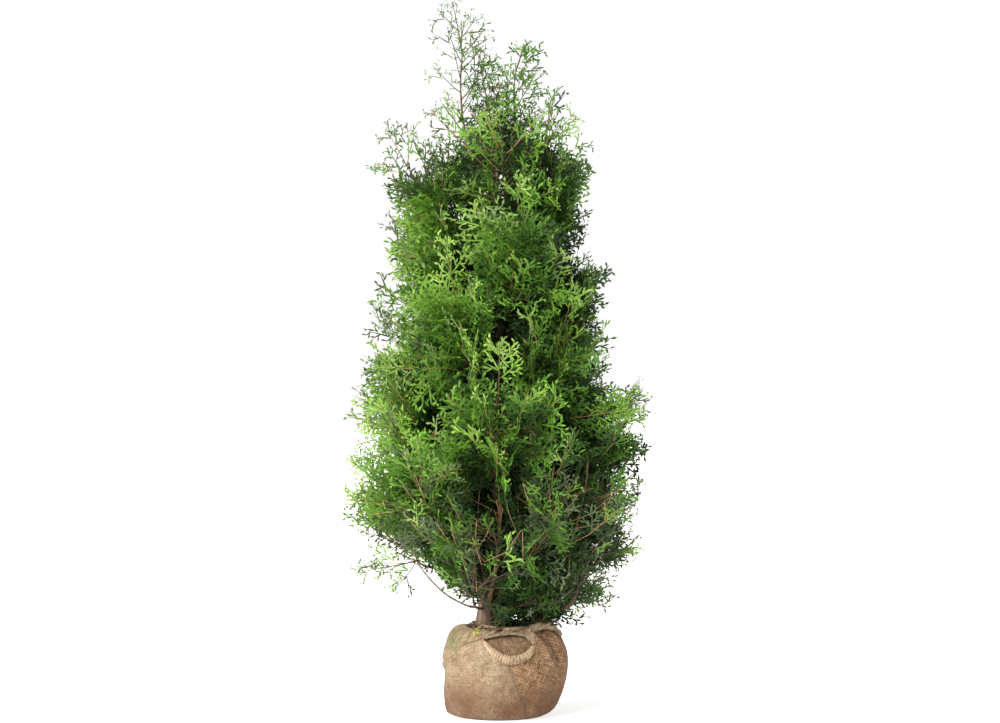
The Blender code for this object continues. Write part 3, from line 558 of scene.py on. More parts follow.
# The greens of the leaders' tips and of the spray on the low bough
TOP_TINTS = ("deep_leaf", "deep_leaf", "grey_leaf", "mid_leaf", "mid_leaf")
LOW_BOUGH_TINTS = ("grey_leaf", "grey_leaf", "mid_leaf", "leaf")


def is_grey(point):
    """Whether a twig ends in the greyer parts: the leaders' tips and near the ground."""
    return point.z > 1.50 or point.z < 0.44


def tint_for(draw, point, rank, tone):
    """Which green a spray has, from how deep it lies and on which side (painted shade deep in the crown,
    at the right and at the foot, painted light at the left), its frond's own tone and its place on it.
    """
    depth = crown_depth(point)
    luck = draw.random()
    if luck < RUSTY_SHARE:
        return "rusty_leaf"
    # The tips of the leaders and of the left shoulder
    if point.z > 1.53 or (point.z > 1.26 and point.x < -0.15):
        return draw.choice(TOP_TINTS)
    if point.z < 0.46 and point.x < -0.20:
        return draw.choice(LOW_BOUGH_TINTS)
    # A third of the sprays near the foot, and a fifth of the outermost at the left, are dull
    if point.z < 0.58 and luck < 0.34:
        return "grey_leaf" if depth > 0.55 and rank > 0 else "deep_leaf"
    if point.x < -0.22 and depth > 0.85 and luck < 0.22:
        return "grey_leaf"
    # Freshness with painted shade mixed in: the deeper a spray lies in the crown, the darker its green
    fresh_and_lit = min(depth, 1.02) + 0.18 * rank + tone + draw.uniform(-0.17, 0.17)
    # The top is duller, the left below it is lighter with painted light, and the right and the foot are
    # darker with painted shade
    if point.z > 1.36:
        fresh_and_lit -= 0.10
    elif point.z > 0.95 and point.x < 0.02:
        fresh_and_lit += 0.11
    if point.x < 0:
        fresh_and_lit += 0.07 - 0.52 * max(point.x, -0.28)
    else:
        fresh_and_lit -= 0.66 * min(point.x, 0.26)
    if point.z < 0.60:
        fresh_and_lit -= 0.12 + 0.6 * max(0.48 - point.z, 0)
    for limit, tint in GREENS_BY_FRESHNESS_AND_LIGHT:
        if fresh_and_lit < limit:
            return tint
    # A share of the brightest sprays take pale leaf, a painted highlight
    if fresh_and_lit > PALE_FROM and luck < PALE_SHARE:
        return "pale_leaf"
    return "fresh_tip" if fresh_and_lit > FRESH_TIP_FROM else "bright_leaf"


def below_skirt(tip):
    """Whether a spray's tip hangs in the space that is open round the bare low bough."""
    heights, lefts = zip(*SKIRT)
    return tip.z < heights[-1] and tip.x < np.interp(tip.z, heights, lefts)


def thinned_out(draw, tip):
    """Whether a spray is left out because the crown is open low down, most at the right."""
    if tip.z < SKIRT[-1][0] and draw.random() < 1.7 * (0.46 - tip.z):
        return True
    if tip.x < -0.12:
        share = 0.45
    elif tip.x < 0.12:
        share = 0.25
    else:
        share = 0.50 if tip.z > 0.48 else 0.80
    low = tip.z < THINNED_BELOW and crown_depth(tip) > THINNED_OUTSIDE
    return low and draw.random() < share


class Foliage:
    """Sprays and twigs as they grow, kept until they're joined into a few meshes."""

    def __init__(self, shapes, before_shoots):
        self.shapes = shapes
        self.before_shoots = before_shoots
        self.sprays = []
        self.twigs = []
        self.tone = 0.0
        self.tones = FROND_TONES
        # Free sprays may leave the crown's outline, and skirted ones keep clear of the low bough
        self.free = False
        self.skirted = True

    def spray(self, draw, root, way, face, length, rank):
        """Adds a spray, unless it would leave the crown, fill an open place or hide a shoot."""
        tip = root + way * length
        if self.free and tip.z < LEVEL_BELOW and way.z < 0:
            way = Vector((way.x, way.y, -way.z))
            tip = root + way * length
        if rank < 0:
            kind = INNER_KIND
        elif tip.z > OPEN_ABOVE and tip.x < OPEN_LEFT_OF:
            kind = OPEN_KIND
        else:
            kind = sum(length > (a + b) / 2 for a, b in zip(SPRAY_LENGTHS, SPRAY_LENGTHS[1:]))
        which = kind * SHAPES_EACH + draw.randrange(SHAPES_EACH)
        bow = self.shapes[which][0][2] * length
        tip = root + way * bow[0] + face.cross(way) * bow[1] + face * bow[2]
        if not self.free and crown_depth(root.lerp(tip, 0.85)) > OUTERMOST:
            return
        if self.skirted and below_skirt(tip):
            return
        if not self.free and thinned_out(draw, tip):
            return
        lowest = LOWEST_AT_WINDOW if tip.y < -0.09 and tip.x < 0.11 else LOWEST_SPRAY
        if root.z < LOWEST_SPRAY or tip.z < lowest:
            return
        if self.before_shoots(root, tip) and draw.random() < GAP_CLEARED:
            return
        tint = tint_for(draw, root.lerp(tip, 0.5), rank, self.tone)
        self.sprays.append((which, root, way, face, length, tint))

    def frond(self, draw, root, knee, target, face):
        """A curved twig with alternate sprays that shorten to its tip, in a tone of its own."""
        self.tone = draw.uniform(*self.tones)
        low, high = cad_box
        target = Vector([min(max(c, a - PROUD), b + PROUD) for a, c, b in zip(low, target, high)])
        axis = interpolate_bezier(root, root.lerp(knee, 0.67), knee.lerp(target, 0.33), target, 8)
        long = line_length(axis)
        body = (target - knee).length
        self.twigs.append(axis)
        start = max(1 - 1.25 * body / long, 0.10)
        count = max(int(long * (1 - start) / SPRAY_STEP), 3)
        for k in range(count):
            share = start + (1 - start) * (k + 0.2) / count
            foot, ahead = along(axis, share)
            local = across(ahead, face + Vector([draw.uniform(-0.55, 0.55) for _ in range(3)]))
            side = 1 if k % 2 else -1
            turn = math.radians(side * (TWIG_DEGREES - 18 * share + draw.uniform(-8, 8)))
            way = Matrix.Rotation(turn, 3, local) @ ahead
            length = min(0.045 + 0.45 * body, LONGEST_SPRAY)
            length = length * (1.14 - 0.76 * share) * draw.uniform(0.75, 1.2)
            self.spray(draw, foot, way, local, length, share)
        tip_face = across((target - knee).normalized(), face)
        end, ahead = along(axis, 0.96)
        reach = (target - end).length + min(0.35 * body, 0.05)
        self.spray(draw, target - ahead * reach, ahead, tip_face, reach, 1.15)

    def inner(self, draw, stem, count):
        """Short shaded sprays along a stem, where the crown is thick."""
        self.tone = -0.05
        for _ in range(count):
            foot, ahead = along(stem, draw.uniform(0.05, 0.95))
            side = across(ahead, Vector([draw.uniform(-1, 1) for _ in range(3)]))
            way = (ahead * 0.7 + side).normalized()
            face = across(way, Vector([draw.uniform(-1, 1) for _ in range(3)]))
            self.spray(draw, foot + side * 0.02, way, face, draw.uniform(0.09, 0.13), -0.2)


def mesh_of_arrays(name, points, faces):
    """A mesh of triangles from two arrays."""
    made = bpy.data.meshes.new(name)
    made.vertices.add(len(points))
    made.vertices.foreach_set("co", np.asarray(points, np.float32).ravel())
    made.loops.add(len(faces) * 3)
    made.loops.foreach_set("vertex_index", np.asarray(faces, np.int32).ravel())
    made.polygons.add(len(faces))
    made.polygons.foreach_set("loop_start", np.arange(0, len(faces) * 3, 3, dtype=np.int32))
    made.update(calc_edges=True)
    made.validate()
    return made


def joined(parts):
    """Several (points, faces) as one."""
    points, faces, first = [], [], 0
    for p, f in parts:
        points.append(p)
        faces.append(f + first)
        first += len(p)
    return np.concatenate(points), np.concatenate(faces)


def laid_sprays(sprays, shapes):
    """The sprays' shapes turned and moved to their places, without those too far past the box."""
    parts = []
    for which, root, way, face, length, _ in sprays:
        points, faces = shapes[which]
        turn = np.array((way, face.cross(way), face))
        laid = points @ turn * length + np.array(root)
        if np.all(laid.min(0) > cad_low - FARTHEST) and np.all(laid.max(0) < cad_high + FARTHEST):
            parts.append((laid, faces))
    return joined(parts)


def laid_twig(axis):
    """A three-sided tapering tube of four rings along a short line, closed at both ends."""
    thick, thin = TWIG_RADII
    line = [axis[0], axis[len(axis) // 3], axis[2 * len(axis) // 3], axis[-1]]
    points, faces = [], []
    for i, p in enumerate(line):
        ahead = (line[min(i + 1, 3)] - line[max(i - 1, 0)]).normalized()
        side = across(ahead, UP)
        other = ahead.cross(side)
        radius = thick + (thin - thick) * i / 3
        points += [
            p + (side * math.cos(turn) + other * math.sin(turn)) * radius
            for turn in (0, 2 * math.pi / 3, 4 * math.pi / 3)
        ]
    for ring in (0, 3, 6):
        for j in range(3):
            a, b = ring + j, ring + (j + 1) % 3
            faces += [(a, b, b + 3), (a, b + 3, a + 3)]
    faces += [(0, 2, 1), (9, 10, 11)]
    return np.array(points), np.array(faces)


# ------------------------------------------------------------------ finishes


def new_material(name, roughness):
    """A material and its shader, with the roughness set."""
    made = bpy.data.materials.new(name)
    made.use_nodes = True
    shader = made.node_tree.nodes["Principled BSDF"]
    shader.inputs["Roughness"].default_value = roughness
    return made, shader


def plain(name, colour, roughness):
    """One colour all over, with a weak sheen."""
    made, shader = new_material(name, roughness)
    shader.inputs["Base Color"].default_value = (*colour, 1)
    shader.inputs["Specular IOR Level"].default_value = 0.25
    return made


class Graph:
    """Short words for adding nodes to a material or a group."""

    def __init__(self, tree):
        self.tree = tree

    def node(self, kind, ins=(), **settings):
        """A node with these settings, and these values or links going in."""
        made = self.tree.nodes.new("ShaderNode" + kind)
        for name, value in settings.items():
            setattr(made, name, value)
        for key, value in dict(ins).items():
            socket = made.inputs[key]
            if isinstance(value, bpy.types.NodeSocket):
                self.tree.links.new(value, socket)
            else:
                socket.default_value = value
        return made

    def math(self, operation, a, b=0.0):
        return self.node("Math", {0: a, 1: b}, operation=operation).outputs[0]

    def times(self, a, b):
        return self.math("MULTIPLY", a, b)

    def plus(self, a, b):
        return self.math("ADD", a, b)

    def blend(self, share, a, b):
        """Goes from one colour to another."""
        made = self.node("Mix", {0: share}, data_type="RGBA")
        for key, value in ((6, a), (7, b)):
            if isinstance(value, bpy.types.NodeSocket):
                self.tree.links.new(value, made.inputs[key])
            else:
                made.inputs[key].default_value = (*value, 1)
        return made.outputs[2]

    def noise(self, vector, scale, detail=3.0, rough=0.6):
        ins = {"Vector": vector, "Scale": scale, "Detail": detail, "Roughness": rough}
        return self.node("TexNoise", ins).outputs["Fac"]

    def ramp(self, value, low, high):
        """From 0 to 1 as a value goes from low to high, with soft ends."""
        ins = {"Value": value, "From Min": low, "From Max": high}
        return self.node("MapRange", ins, interpolation_type="SMOOTHSTEP").outputs["Result"]


def weave_group():
    """A plain weave: how high each thread stands, where the holes are, and how its tone varies."""
    tree = bpy.data.node_groups.new("plain_weave", "ShaderNodeTree")
    for name, kind, way in (
        ("Vector", "NodeSocketVector", "INPUT"),
        ("Pitch", "NodeSocketFloat", "INPUT"),
        ("Height", "NodeSocketFloat", "OUTPUT"),
        ("Hole", "NodeSocketFloat", "OUTPUT"),
        ("Tone", "NodeSocketFloat", "OUTPUT"),
    ):
        tree.interface.new_socket(name=name, in_out=way, socket_type=kind)
    g = Graph(tree)
    entry, leave = tree.nodes.new("NodeGroupInput"), tree.nodes.new("NodeGroupOutput")
    wander = g.node("TexNoise", {"Vector": entry.outputs["Vector"], "Scale": 38.0, "Detail": 2.0})
    shift = g.node("VectorMath", {0: wander.outputs["Color"], 1: (0.5, 0.5, 0.5)}, operation="SUBTRACT")
    slack = g.node("VectorMath", {0: shift.outputs[0], "Scale": 0.011}, operation="SCALE")
    laid = g.node("VectorMath", {0: entry.outputs["Vector"], 1: slack.outputs[0]}, operation="ADD")
    apart = g.node("SeparateXYZ", {0: laid.outputs[0]})
    u = g.math("DIVIDE", apart.outputs[0], entry.outputs["Pitch"])
    v = g.math("DIVIDE", apart.outputs[1], entry.outputs["Pitch"])

    def thread(over, along_it, offset):
        """The height of the threads of one way, which dive under every second one of the other."""
        profile = g.math("ABSOLUTE", g.math("SINE", g.times(over, math.pi)))
        row = g.times(g.math("FLOOR", over), math.pi)
        phase = g.plus(g.plus(g.times(along_it, math.pi), row), offset)
        lift = g.plus(g.times(g.math("SINE", phase), 0.32), 0.68)
        return g.times(g.math("POWER", profile, 0.6), lift)

    height = g.math("MAXIMUM", thread(u, v, 0.0), thread(v, u, math.pi))
    streak_u = g.node("CombineXYZ", {0: g.math("FLOOR", u), 1: g.times(v, 0.12)})
    streak_v = g.node("CombineXYZ", {0: g.times(u, 0.12), 1: g.math("FLOOR", v), 2: 7.0})
    tone_u = g.noise(streak_u.outputs[0], 1.7, 2.0)
    tone_v = g.noise(streak_v.outputs[0], 1.7, 2.0)
    tree.links.new(height, leave.inputs["Height"])
    tree.links.new(g.ramp(height, 0.52, 0.22), leave.inputs["Hole"])
    tree.links.new(g.times(g.plus(tone_u, tone_v), 0.5), leave.inputs["Tone"])
    return tree


def finish_of(shader, g, base, height, strength, distance):
    """Gives a shader its colour and the relief of a height."""
    g.tree.links.new(base, shader.inputs["Base Color"])
    ins = {"Strength": strength, "Distance": distance, "Height": height}
    g.tree.links.new(g.node("Bump", ins).outputs["Normal"], shader.inputs["Normal"])


# Colours on the burlap: earth rubbed into its foot, its specks, dust, stains, moss and the painted shade
# of its creases, and the threads and holes where it is stretched
EARTH_RUBBED = (0.148, 0.061, 0.025)
EARTH_SPECK = (0.080, 0.042, 0.025)
DUST = (0.240, 0.132, 0.068)
BLOTCH = (0.115, 0.062, 0.036)
MOSS = (0.10, 0.15, 0.035)
# Painted shade: a dark line just under each overlap's edge and along each hollow fold
CREASE_SHADE = (0.110, 0.062, 0.036)
STRETCHED_DARK = (0.195, 0.104, 0.049)
STRETCHED_PALE = (0.470, 0.290, 0.158)
# The holes of the stretched weave: partly the earth behind them, partly painted shade
STRETCHED_HOLE_SHADE = (0.036, 0.018, 0.010)


def burlap_finish(name, weave, pitch, open_pitch, pale, brown, dirty):
    """Jute cloth: threads of two tones, opener where it is stretched, stained and dusty, and darkened in
    its creases with painted shade.
    """
    made, shader = new_material(name, 0.95)
    g = Graph(made.node_tree)
    coords = g.node("TexCoord")
    fine = g.node("Group", {"Vector": coords.outputs["UV"], "Pitch": pitch}, node_tree=weave)
    slanted = g.node("Mapping", {"Vector": coords.outputs["UV"], "Rotation": (0, 0, math.radians(38))})
    loose = g.node("Group", {"Vector": slanted.outputs[0], "Pitch": open_pitch}, node_tree=weave)
    where = coords.outputs["Object"]
    stretched = g.node("Attribute", attribute_name="stretched").outputs["Fac"]
    damp = g.node("Attribute", attribute_name="damp").outputs["Fac"]
    crease_shade = g.node("Attribute", attribute_name="crease_shade").outputs["Fac"]
    height = g.node("SeparateXYZ", {0: where}).outputs[2]
    cloud = g.ramp(g.noise(where, 13.0, 5.0), 0.38, 0.64)
    blotch = g.ramp(g.noise(where, 60.0, 5.0), 0.54, 0.70)
    base = g.blend(g.ramp(fine.outputs["Tone"], 0.34, 0.66), brown, pale)
    # The weave's holes are darkened, partly for the earth behind them and partly as painted shade
    base = g.blend(g.times(fine.outputs["Hole"], 0.55), base, tuple(c * 0.42 for c in brown))
    wide = g.blend(g.ramp(loose.outputs["Tone"], 0.34, 0.66), STRETCHED_DARK, STRETCHED_PALE)
    # The stretched weave's holes too: the earth behind them and painted shade in them
    gaps = g.ramp(loose.outputs["Height"], 0.62, 0.36)
    wide = g.blend(gaps, wide, STRETCHED_HOLE_SHADE)
    stain = g.ramp(g.noise(where, 22.0, 6.0, 0.7), 0.50, 0.62)
    base = g.blend(g.times(stain, 0.50), base, tuple(c * 0.56 for c in brown))
    base = g.blend(stretched, base, wide)
    patchy = g.plus(g.times(cloud, 0.40), 0.60)
    low = g.times(g.ramp(height, 0.130, 0.028), patchy)
    speck = g.times(g.ramp(g.noise(where, 330.0, 2.0), 0.50, 0.62), low)
    moss = g.times(damp, g.ramp(g.noise(where, 90.0, 4.0), 0.40, 0.58))
    for share, colour in (
        (g.times(low, dirty), EARTH_RUBBED),
        (g.times(cloud, 0.24), DUST),
        (g.times(blotch, 0.50), BLOTCH),
        (g.times(speck, 0.75), EARTH_SPECK),
        (moss, MOSS),
        # painted shade in the creases
        (g.times(crease_shade, 0.66), CREASE_SHADE),
    ):
        base = g.blend(share, base, colour)
    lint = g.times(g.noise(where, 700.0, 2.0), 0.3)
    heights = {2: fine.outputs["Height"], 3: loose.outputs["Height"]}
    raised = g.node("Mix", {0: stretched, **heights}).outputs[0]
    finish_of(shader, g, base, g.plus(raised, lint), 0.9, 0.0026)
    return made


def bark_finish(name, pale, dark, ridge, long):
    """Stringy bark: dark fissures drawn out upwards, paler ridges and grey-brown patches."""
    made, shader = new_material(name, 0.85)
    g = Graph(made.node_tree)
    where = g.node("TexCoord").outputs["Object"]
    drawn = g.node("Mapping", {"Vector": where, "Scale": (1, 1, long)})
    string = g.noise(drawn.outputs[0], ridge, 5.0, 0.65)
    patch = g.ramp(g.noise(where, 26.0, 3.0), 0.40, 0.62)
    base = g.blend(g.ramp(string, 0.36, 0.62), dark, pale)
    base = g.blend(g.times(patch, 0.4), base, (0.17, 0.135, 0.10))
    finish_of(shader, g, base, string, 0.8, 0.002)
    return made


def earth_finish():
    """Crumbly earth, with painted shade darkening its hollows."""
    made, shader = new_material("earth", 0.95)
    g = Graph(made.node_tree)
    crumb = g.noise(g.node("TexCoord").outputs["Object"], 240.0, 5.0, 0.7)
    # Painted shade in the crumbs' hollows
    base = g.blend(g.ramp(crumb, 0.36, 0.66), (0.045, 0.028, 0.018), (0.17, 0.105, 0.065))
    finish_of(shader, g, base, crumb, 1.0, 0.003)
    return made


def hang(name, data):
    """Puts a mesh, a lamp or the camera into the scene."""
    made = bpy.data.objects.new(name, data)
    bpy.context.scene.collection.objects.link(made)
    return made


def place(name, mesh, material, nodes, smooth=False):
    """Puts a finished mesh into the scene as a piece of the plant, in the place of these nodes."""
    made = hang(name, mesh)
    mesh.materials.clear()
    mesh.materials.append(material)
    if smooth:
        mesh.shade_smooth()
    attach(made, "root")
    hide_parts(*nodes)


# ------------------------------------------------------------------ swept limbs and rolls


def frames_along(line):
    """A place for each point of a line: Z runs along it and X turns as little as it can."""
    frames, side = [], None
    for i, point in enumerate(line):
        ahead = (line[min(i + 1, len(line) - 1)] - line[max(i - 1, 0)]).normalized()
        side = across(ahead, side if side else Vector((1, 0, 0)))
        turn = Matrix((side, ahead.cross(side), ahead)).transposed().to_4x4()
        frames.append(Matrix.Translation(point) @ turn)
    return frames


def edges_among(edges, verts):
    """Those of the edges that have both ends among these vertices."""
    own = set(verts)
    return [e for e in edges if e.verts[0] in own and e.verts[1] in own]


def sweep(shape, line, radii, sides):
    """Extrudes a circle ring by ring along a line, with a radius for each point, and closes it."""
    seats = [f @ Matrix.Diagonal((r, r, 1, 1)) for f, r in zip(frames_along(line), radii)]
    made = bmesh.ops.create_circle(shape, segments=sides, radius=1, cap_ends=True, matrix=seats[0])
    ring = made["verts"]
    edges = edges_among(shape.edges, ring)
    verts = list(ring)
    for last, seat in zip(seats, seats[1:]):
        grown = bmesh.ops.extrude_edge_only(shape, edges=edges)["geom"]
        ring = [g for g in grown if isinstance(g, bmesh.types.BMVert)]
        edges = edges_among([g for g in grown if isinstance(g, bmesh.types.BMEdge)], ring)
        bmesh.ops.transform(shape, matrix=seat @ last.inverted(), verts=ring)
        verts += ring
    bmesh.ops.contextual_create(shape, geom=edges)
    return verts


def finished(name, shape):
    """A mesh from a finished shape, its faces turned outwards."""
    bmesh.ops.recalc_face_normals(shape, faces=shape.faces)
    made = bpy.data.meshes.new(name)
    shape.to_mesh(made)
    shape.free()
    return made


def roughened(shape, verts, depth, scale, long):
    """Raises strings of bark on a limb's surface, coarse ones and finer ones on them."""
    shape.normal_update()
    for vert in verts:
        x, y, z = vert.co
        relief = noise.noise(Vector((x * scale, y * scale, z * scale * long)))
        fine = Vector((x * scale * 2.3, y * scale * 2.3, z * scale * long * 2 + 5))
        vert.co += vert.normal * (relief + 0.5 * noise.noise(fine)) * depth


def even_line(line, step):
    """The same line with evenly spaced points, about this far apart."""
    count = max(int(line_length(line) / step), 3)
    return [along(line, i / count)[0] for i in range(count + 1)]


def limb_mesh(name, line, radii, sides, depth):
    """One limb with its own relief; radii gives a radius for a share of its length and a point."""
    shape = bmesh.new()
    fine = even_line(line, 0.006)
    widths = [radii(i / (len(fine) - 1), p) for i, p in enumerate(fine)]
    verts = sweep(shape, fine, widths, sides)
    roughened(shape, verts, depth, 90, 0.16)
    return finished(name, shape)


# ------------------------------------------------------------------ burlap

CLOTH_TURNS = 320
CLOTH_ROWS = 104
CLOTH_THICKNESS = 0.0016
# The cloth's lowest vertices stand this far above the ground
FOOT_LIFT = 0.0002
# The radius by which degrees round the ball are made into lengths
GIRTH_RADIUS = 0.148
# How threads cross the ball: the radius that they are spaced for, and their slant each way
THREAD_RADIUS = 0.150
THREAD_SLANTS = (0.32, 0.045)
# The round hole at the neck, and the window below it in front, as (across, height)
NECK_RADIUS = 0.0885
NECK_CENTRE = Vector((0.010, 0, 0))
WINDOW = (
    (-0.052, 0.199), (-0.035, 0.180), (-0.012, 0.163), (0.013, 0.155),
    (0.040, 0.160), (0.058, 0.170), (0.067, 0.186),
)
WINDOW_LID = ((0.050, 0.2035), (0.020, 0.2095), (-0.012, 0.2075), (-0.036, 0.2040))
# Edges of overlapping cloth: the points they pass, as (degrees round the ball, height), how far
# the upper cloth stands out, with a sign for its side, and over what width
OVERLAPS = (
    (
        (
            (-107, 0.205), (-122, 0.192), (-134, 0.181), (-146, 0.150),
            (-156, 0.112), (-163, 0.060), (-166, 0.0),
        ),
        -0.0075, 0.026,
    ),
    (((-88, 0.146), (-84, 0.110), (-76, 0.070), (-66, 0.034), (-60, 0.0)), 0.0036, 0.020),
    (((62, 0.212), (74, 0.160), (70, 0.100), (84, 0.050), (88, 0.0)), 0.0030, 0.034),
    (((160, 0.206), (148, 0.150), (128, 0.100), (120, 0.040), (118, 0.0)), -0.0028, 0.032),
    (((-6, 0.205), (2, 0.150), (14, 0.100), (12, 0.050), (18, 0.0)), 0.0026, 0.030),
)
# Folds: the same, with their height or depth and their width
FOLDS = (
    (((-52, 0.214), (-44, 0.200), (-35, 0.182), (-29, 0.150)), -0.0110, 0.0070),
    (((-60, 0.214), (-54, 0.196), (-47, 0.176), (-42, 0.140)), 0.0070, 0.0080),
    (((-30, 0.208), (-22, 0.180), (-20, 0.140)), 0.0060, 0.0090),
    (((-128, 0.120), (-112, 0.100), (-98, 0.092)), 0.0030, 0.0120),
    (((-60, 0.120), (-50, 0.080), (-54, 0.030)), 0.0036, 0.0150),
    (((-140, 0.090), (-134, 0.050), (-138, 0.010)), 0.0032, 0.0140),
    (((-74, 0.060), (-58, 0.040), (-44, 0.028)), -0.0030, 0.0060),
    (((95, 0.214), (104, 0.170), (100, 0.120)), 0.0070, 0.0080),
    (((130, 0.214), (133, 0.180), (142, 0.150)), -0.0085, 0.0070),
    (((20, 0.214), (30, 0.170), (44, 0.130)), 0.0070, 0.0090),
    (((38, 0.214), (47, 0.180), (58, 0.150)), -0.0085, 0.0070),
    (((172, 0.214), (168, 0.170), (176, 0.120)), 0.0066, 0.0090),
)
# Its slack all over: how high and how close the lumps are, from coarse to fine
RIPPLES = ((0.0032, 17), (0.0014, 46), (0.0006, 120))
# Right of this line the cloth is stretched and its weave stands open, as far as the ball's side
STRETCH_EDGE = (
    (-66, 0.214), (-58, 0.196), (-62, 0.176), (-76, 0.160), (-88, 0.140),
    (-84, 0.110), (-76, 0.070), (-66, 0.034), (-60, 0.0),
)
# Mossy places on each cloth: where, how far they spread and how green they are
DAMP_SPOTS = {
    "cloth": (((-0.132, -0.045, 0.188), (0.030, 0.060, 0.022), 1.0),),
    "inner": (((0.012, -0.125, 0.162), (0.030, 0.060, 0.010), 0.55),),
}


def profile_line(inset, rows):
    """The ball's outline from its foot to its neck, evenly spaced, set in square to itself."""
    line = smooth_line([(r, 0, z) for r, z in BALL_OUTLINE], 6)
    line = [along(line, i / (rows - 1))[0] for i in range(rows)]
    moved = []
    for i, p in enumerate(line):
        run = (line[min(i + 1, rows - 1)] - line[max(i - 1, 0)]).normalized()
        moved.append(p - Vector((run.z, 0, -run.x)) * inset)
    return moved


def line_offsets(turn, height, points):
    """How far each place is from a line on the ball, and a sign for the side that it lies on."""
    best = np.full(len(turn), 1e9)
    sign = np.zeros(len(turn))
    for (t0, z0), (t1, z1) in zip(points, points[1:]):
        du = (np.mod(turn - t0 + 180, 360) - 180) * math.radians(1) * GIRTH_RADIUS
        run_u, run_z = math.radians(t1 - t0) * GIRTH_RADIUS, z1 - z0
        share = np.clip((du * run_u + (height - z0) * run_z) / (run_u**2 + run_z**2), 0, 1)
        off_u, off_z = du - run_u * share, height - z0 - run_z * share
        far = np.hypot(off_u, off_z)
        nearer = far < best
        best = np.where(nearer, far, best)
        sign = np.where(nearer, np.sign(off_u * run_z - off_z * run_u), sign)
    return best, sign


def cloth_shape(points, relief):
    """Slumps the ball, lays overlaps, folds and pleats on it and lets it stand flat on its foot."""
    x, y, z = points.T
    turn = np.arctan2(y, x)
    share = np.clip(z / BALL_TOP, 0, 1)
    # The ball isn't quite round: three and five times round it swells a little
    rise = np.sin(np.pi * share)
    wide = 1 + 0.016 * rise * np.cos(3 * turn + 0.6) + 0.010 * rise * np.cos(5 * turn - 1)
    shift = FOOT_SHIFT * np.clip(1 - z / FOOT_SHIFT_TOP, 0, None)
    degrees = np.degrees(turn)
    out = np.zeros(len(x))
    for line, height, width in OVERLAPS:
        far, side = line_offsets(degrees, z, line)
        edge = 1 / (1 + np.exp(-far * side * np.sign(height) / 0.0012))
        out += abs(height) * edge * np.exp(-far / width)
    for line, height, width in FOLDS:
        far, _ = line_offsets(degrees, z, line)
        out += height * np.exp(-((far / width) ** 2))
    # Pleats, gathered towards the neck
    pleats = np.clip((share - 0.78) / 0.22, 0, 1) ** 1.5
    out += 0.0030 * pleats * (np.sin(17 * turn + 2 * np.sin(3 * turn)) + 0.6 * np.sin(31 * turn + 1))
    for i in range(len(x)):
        p = Vector((x[i], y[i], z[i]))
        out[i] += sum(height * noise.noise(p * scale) for height, scale in RIPPLES)
    # All this stands out from the ball's middle and fades away at its foot
    fade = np.clip(z / 0.012, 0, 1) * relief
    way = points - np.array((0, 0, 0.10))
    way[:, 2] *= 0.6
    way /= np.linalg.norm(way, axis=1)[:, None]
    moved = np.stack([x * wide + shift, y * wide, z], axis=1) + way * (out * fade)[:, None]
    moved[:, 2] = np.maximum(moved[:, 2], FOOT_LIFT)
    return moved


def inside_outline(x, z, outline):
    """Whether a place lies inside a closed outline, by how many of its edges are to one side."""
    inside = False
    for (x0, z0), (x1, z1) in zip(outline, outline[1:] + outline[:1]):
        if (z0 > z) != (z1 > z) and x < x0 + (z - z0) / (z1 - z0) * (x1 - x0):
            inside = not inside
    return inside


def spun_cloth(inset):
    """The ball's profile spun round, with its threads' coordinates in metres."""
    shape = bmesh.new()
    foot = [Vector((r, 0, inset + FOOT_LIFT)) for r in (0.02, 0.06, 0.095)]
    verts = [shape.verts.new(p) for p in [*foot, *profile_line(inset, CLOTH_ROWS)]]
    edges = [shape.edges.new(pair) for pair in zip(verts, verts[1:])]
    bmesh.ops.spin(
        shape, geom=[*verts, *edges], axis=(0, 0, 1), cent=(0, 0, 0),
        steps=CLOTH_TURNS, angle=2 * math.pi, use_merge=True,
    )
    hole = [e for e in shape.edges if e.is_boundary and e.calc_length() < 0.002]
    bmesh.ops.holes_fill(shape, edges=hole, sides=0)
    bmesh.ops.recalc_face_normals(shape, faces=shape.faces)
    threads = shape.loops.layers.uv.new("threads")
    across_slant, down_slant = THREAD_SLANTS
    for face in shape.faces:
        middle = face.calc_center_median()
        turn0 = math.atan2(middle.y, middle.x)
        for loop in face.loops:
            p = loop.vert.co
            turn = math.atan2(p.y, p.x)
            turn = turn0 + math.remainder(turn - turn0, 2 * math.pi)
            under = p.xy.length < 0.112 and p.z < 0.01
            slanted = (turn * THREAD_RADIUS + p.z * across_slant, p.z - turn * down_slant)
            loop[threads].uv = p.xy if under else slanted
    return shape


def open_up(shape):
    """Cuts the neck and the window out of the cloth, eases their edges and thickens it."""
    opening = [*WINDOW, *WINDOW_LID]
    holes = []
    for face in shape.faces:
        c = face.calc_center_median()
        neck = (c.xy - NECK_CENTRE.xy).length < NECK_RADIUS - 0.002 and c.z > 0.15
        if neck or (c.y < 0 and inside_outline(c.x, c.z, opening)):
            holes.append(face)
    bmesh.ops.delete(shape, geom=holes, context="FACES")
    rim = [v for v in shape.verts if v.is_boundary]
    axes = {"use_axis_x": True, "use_axis_y": True, "use_axis_z": True}
    bmesh.ops.smooth_vert(shape, verts=rim, factor=0.5, **axes)
    bmesh.ops.solidify(shape, geom=list(shape.faces), thickness=CLOTH_THICKNESS)


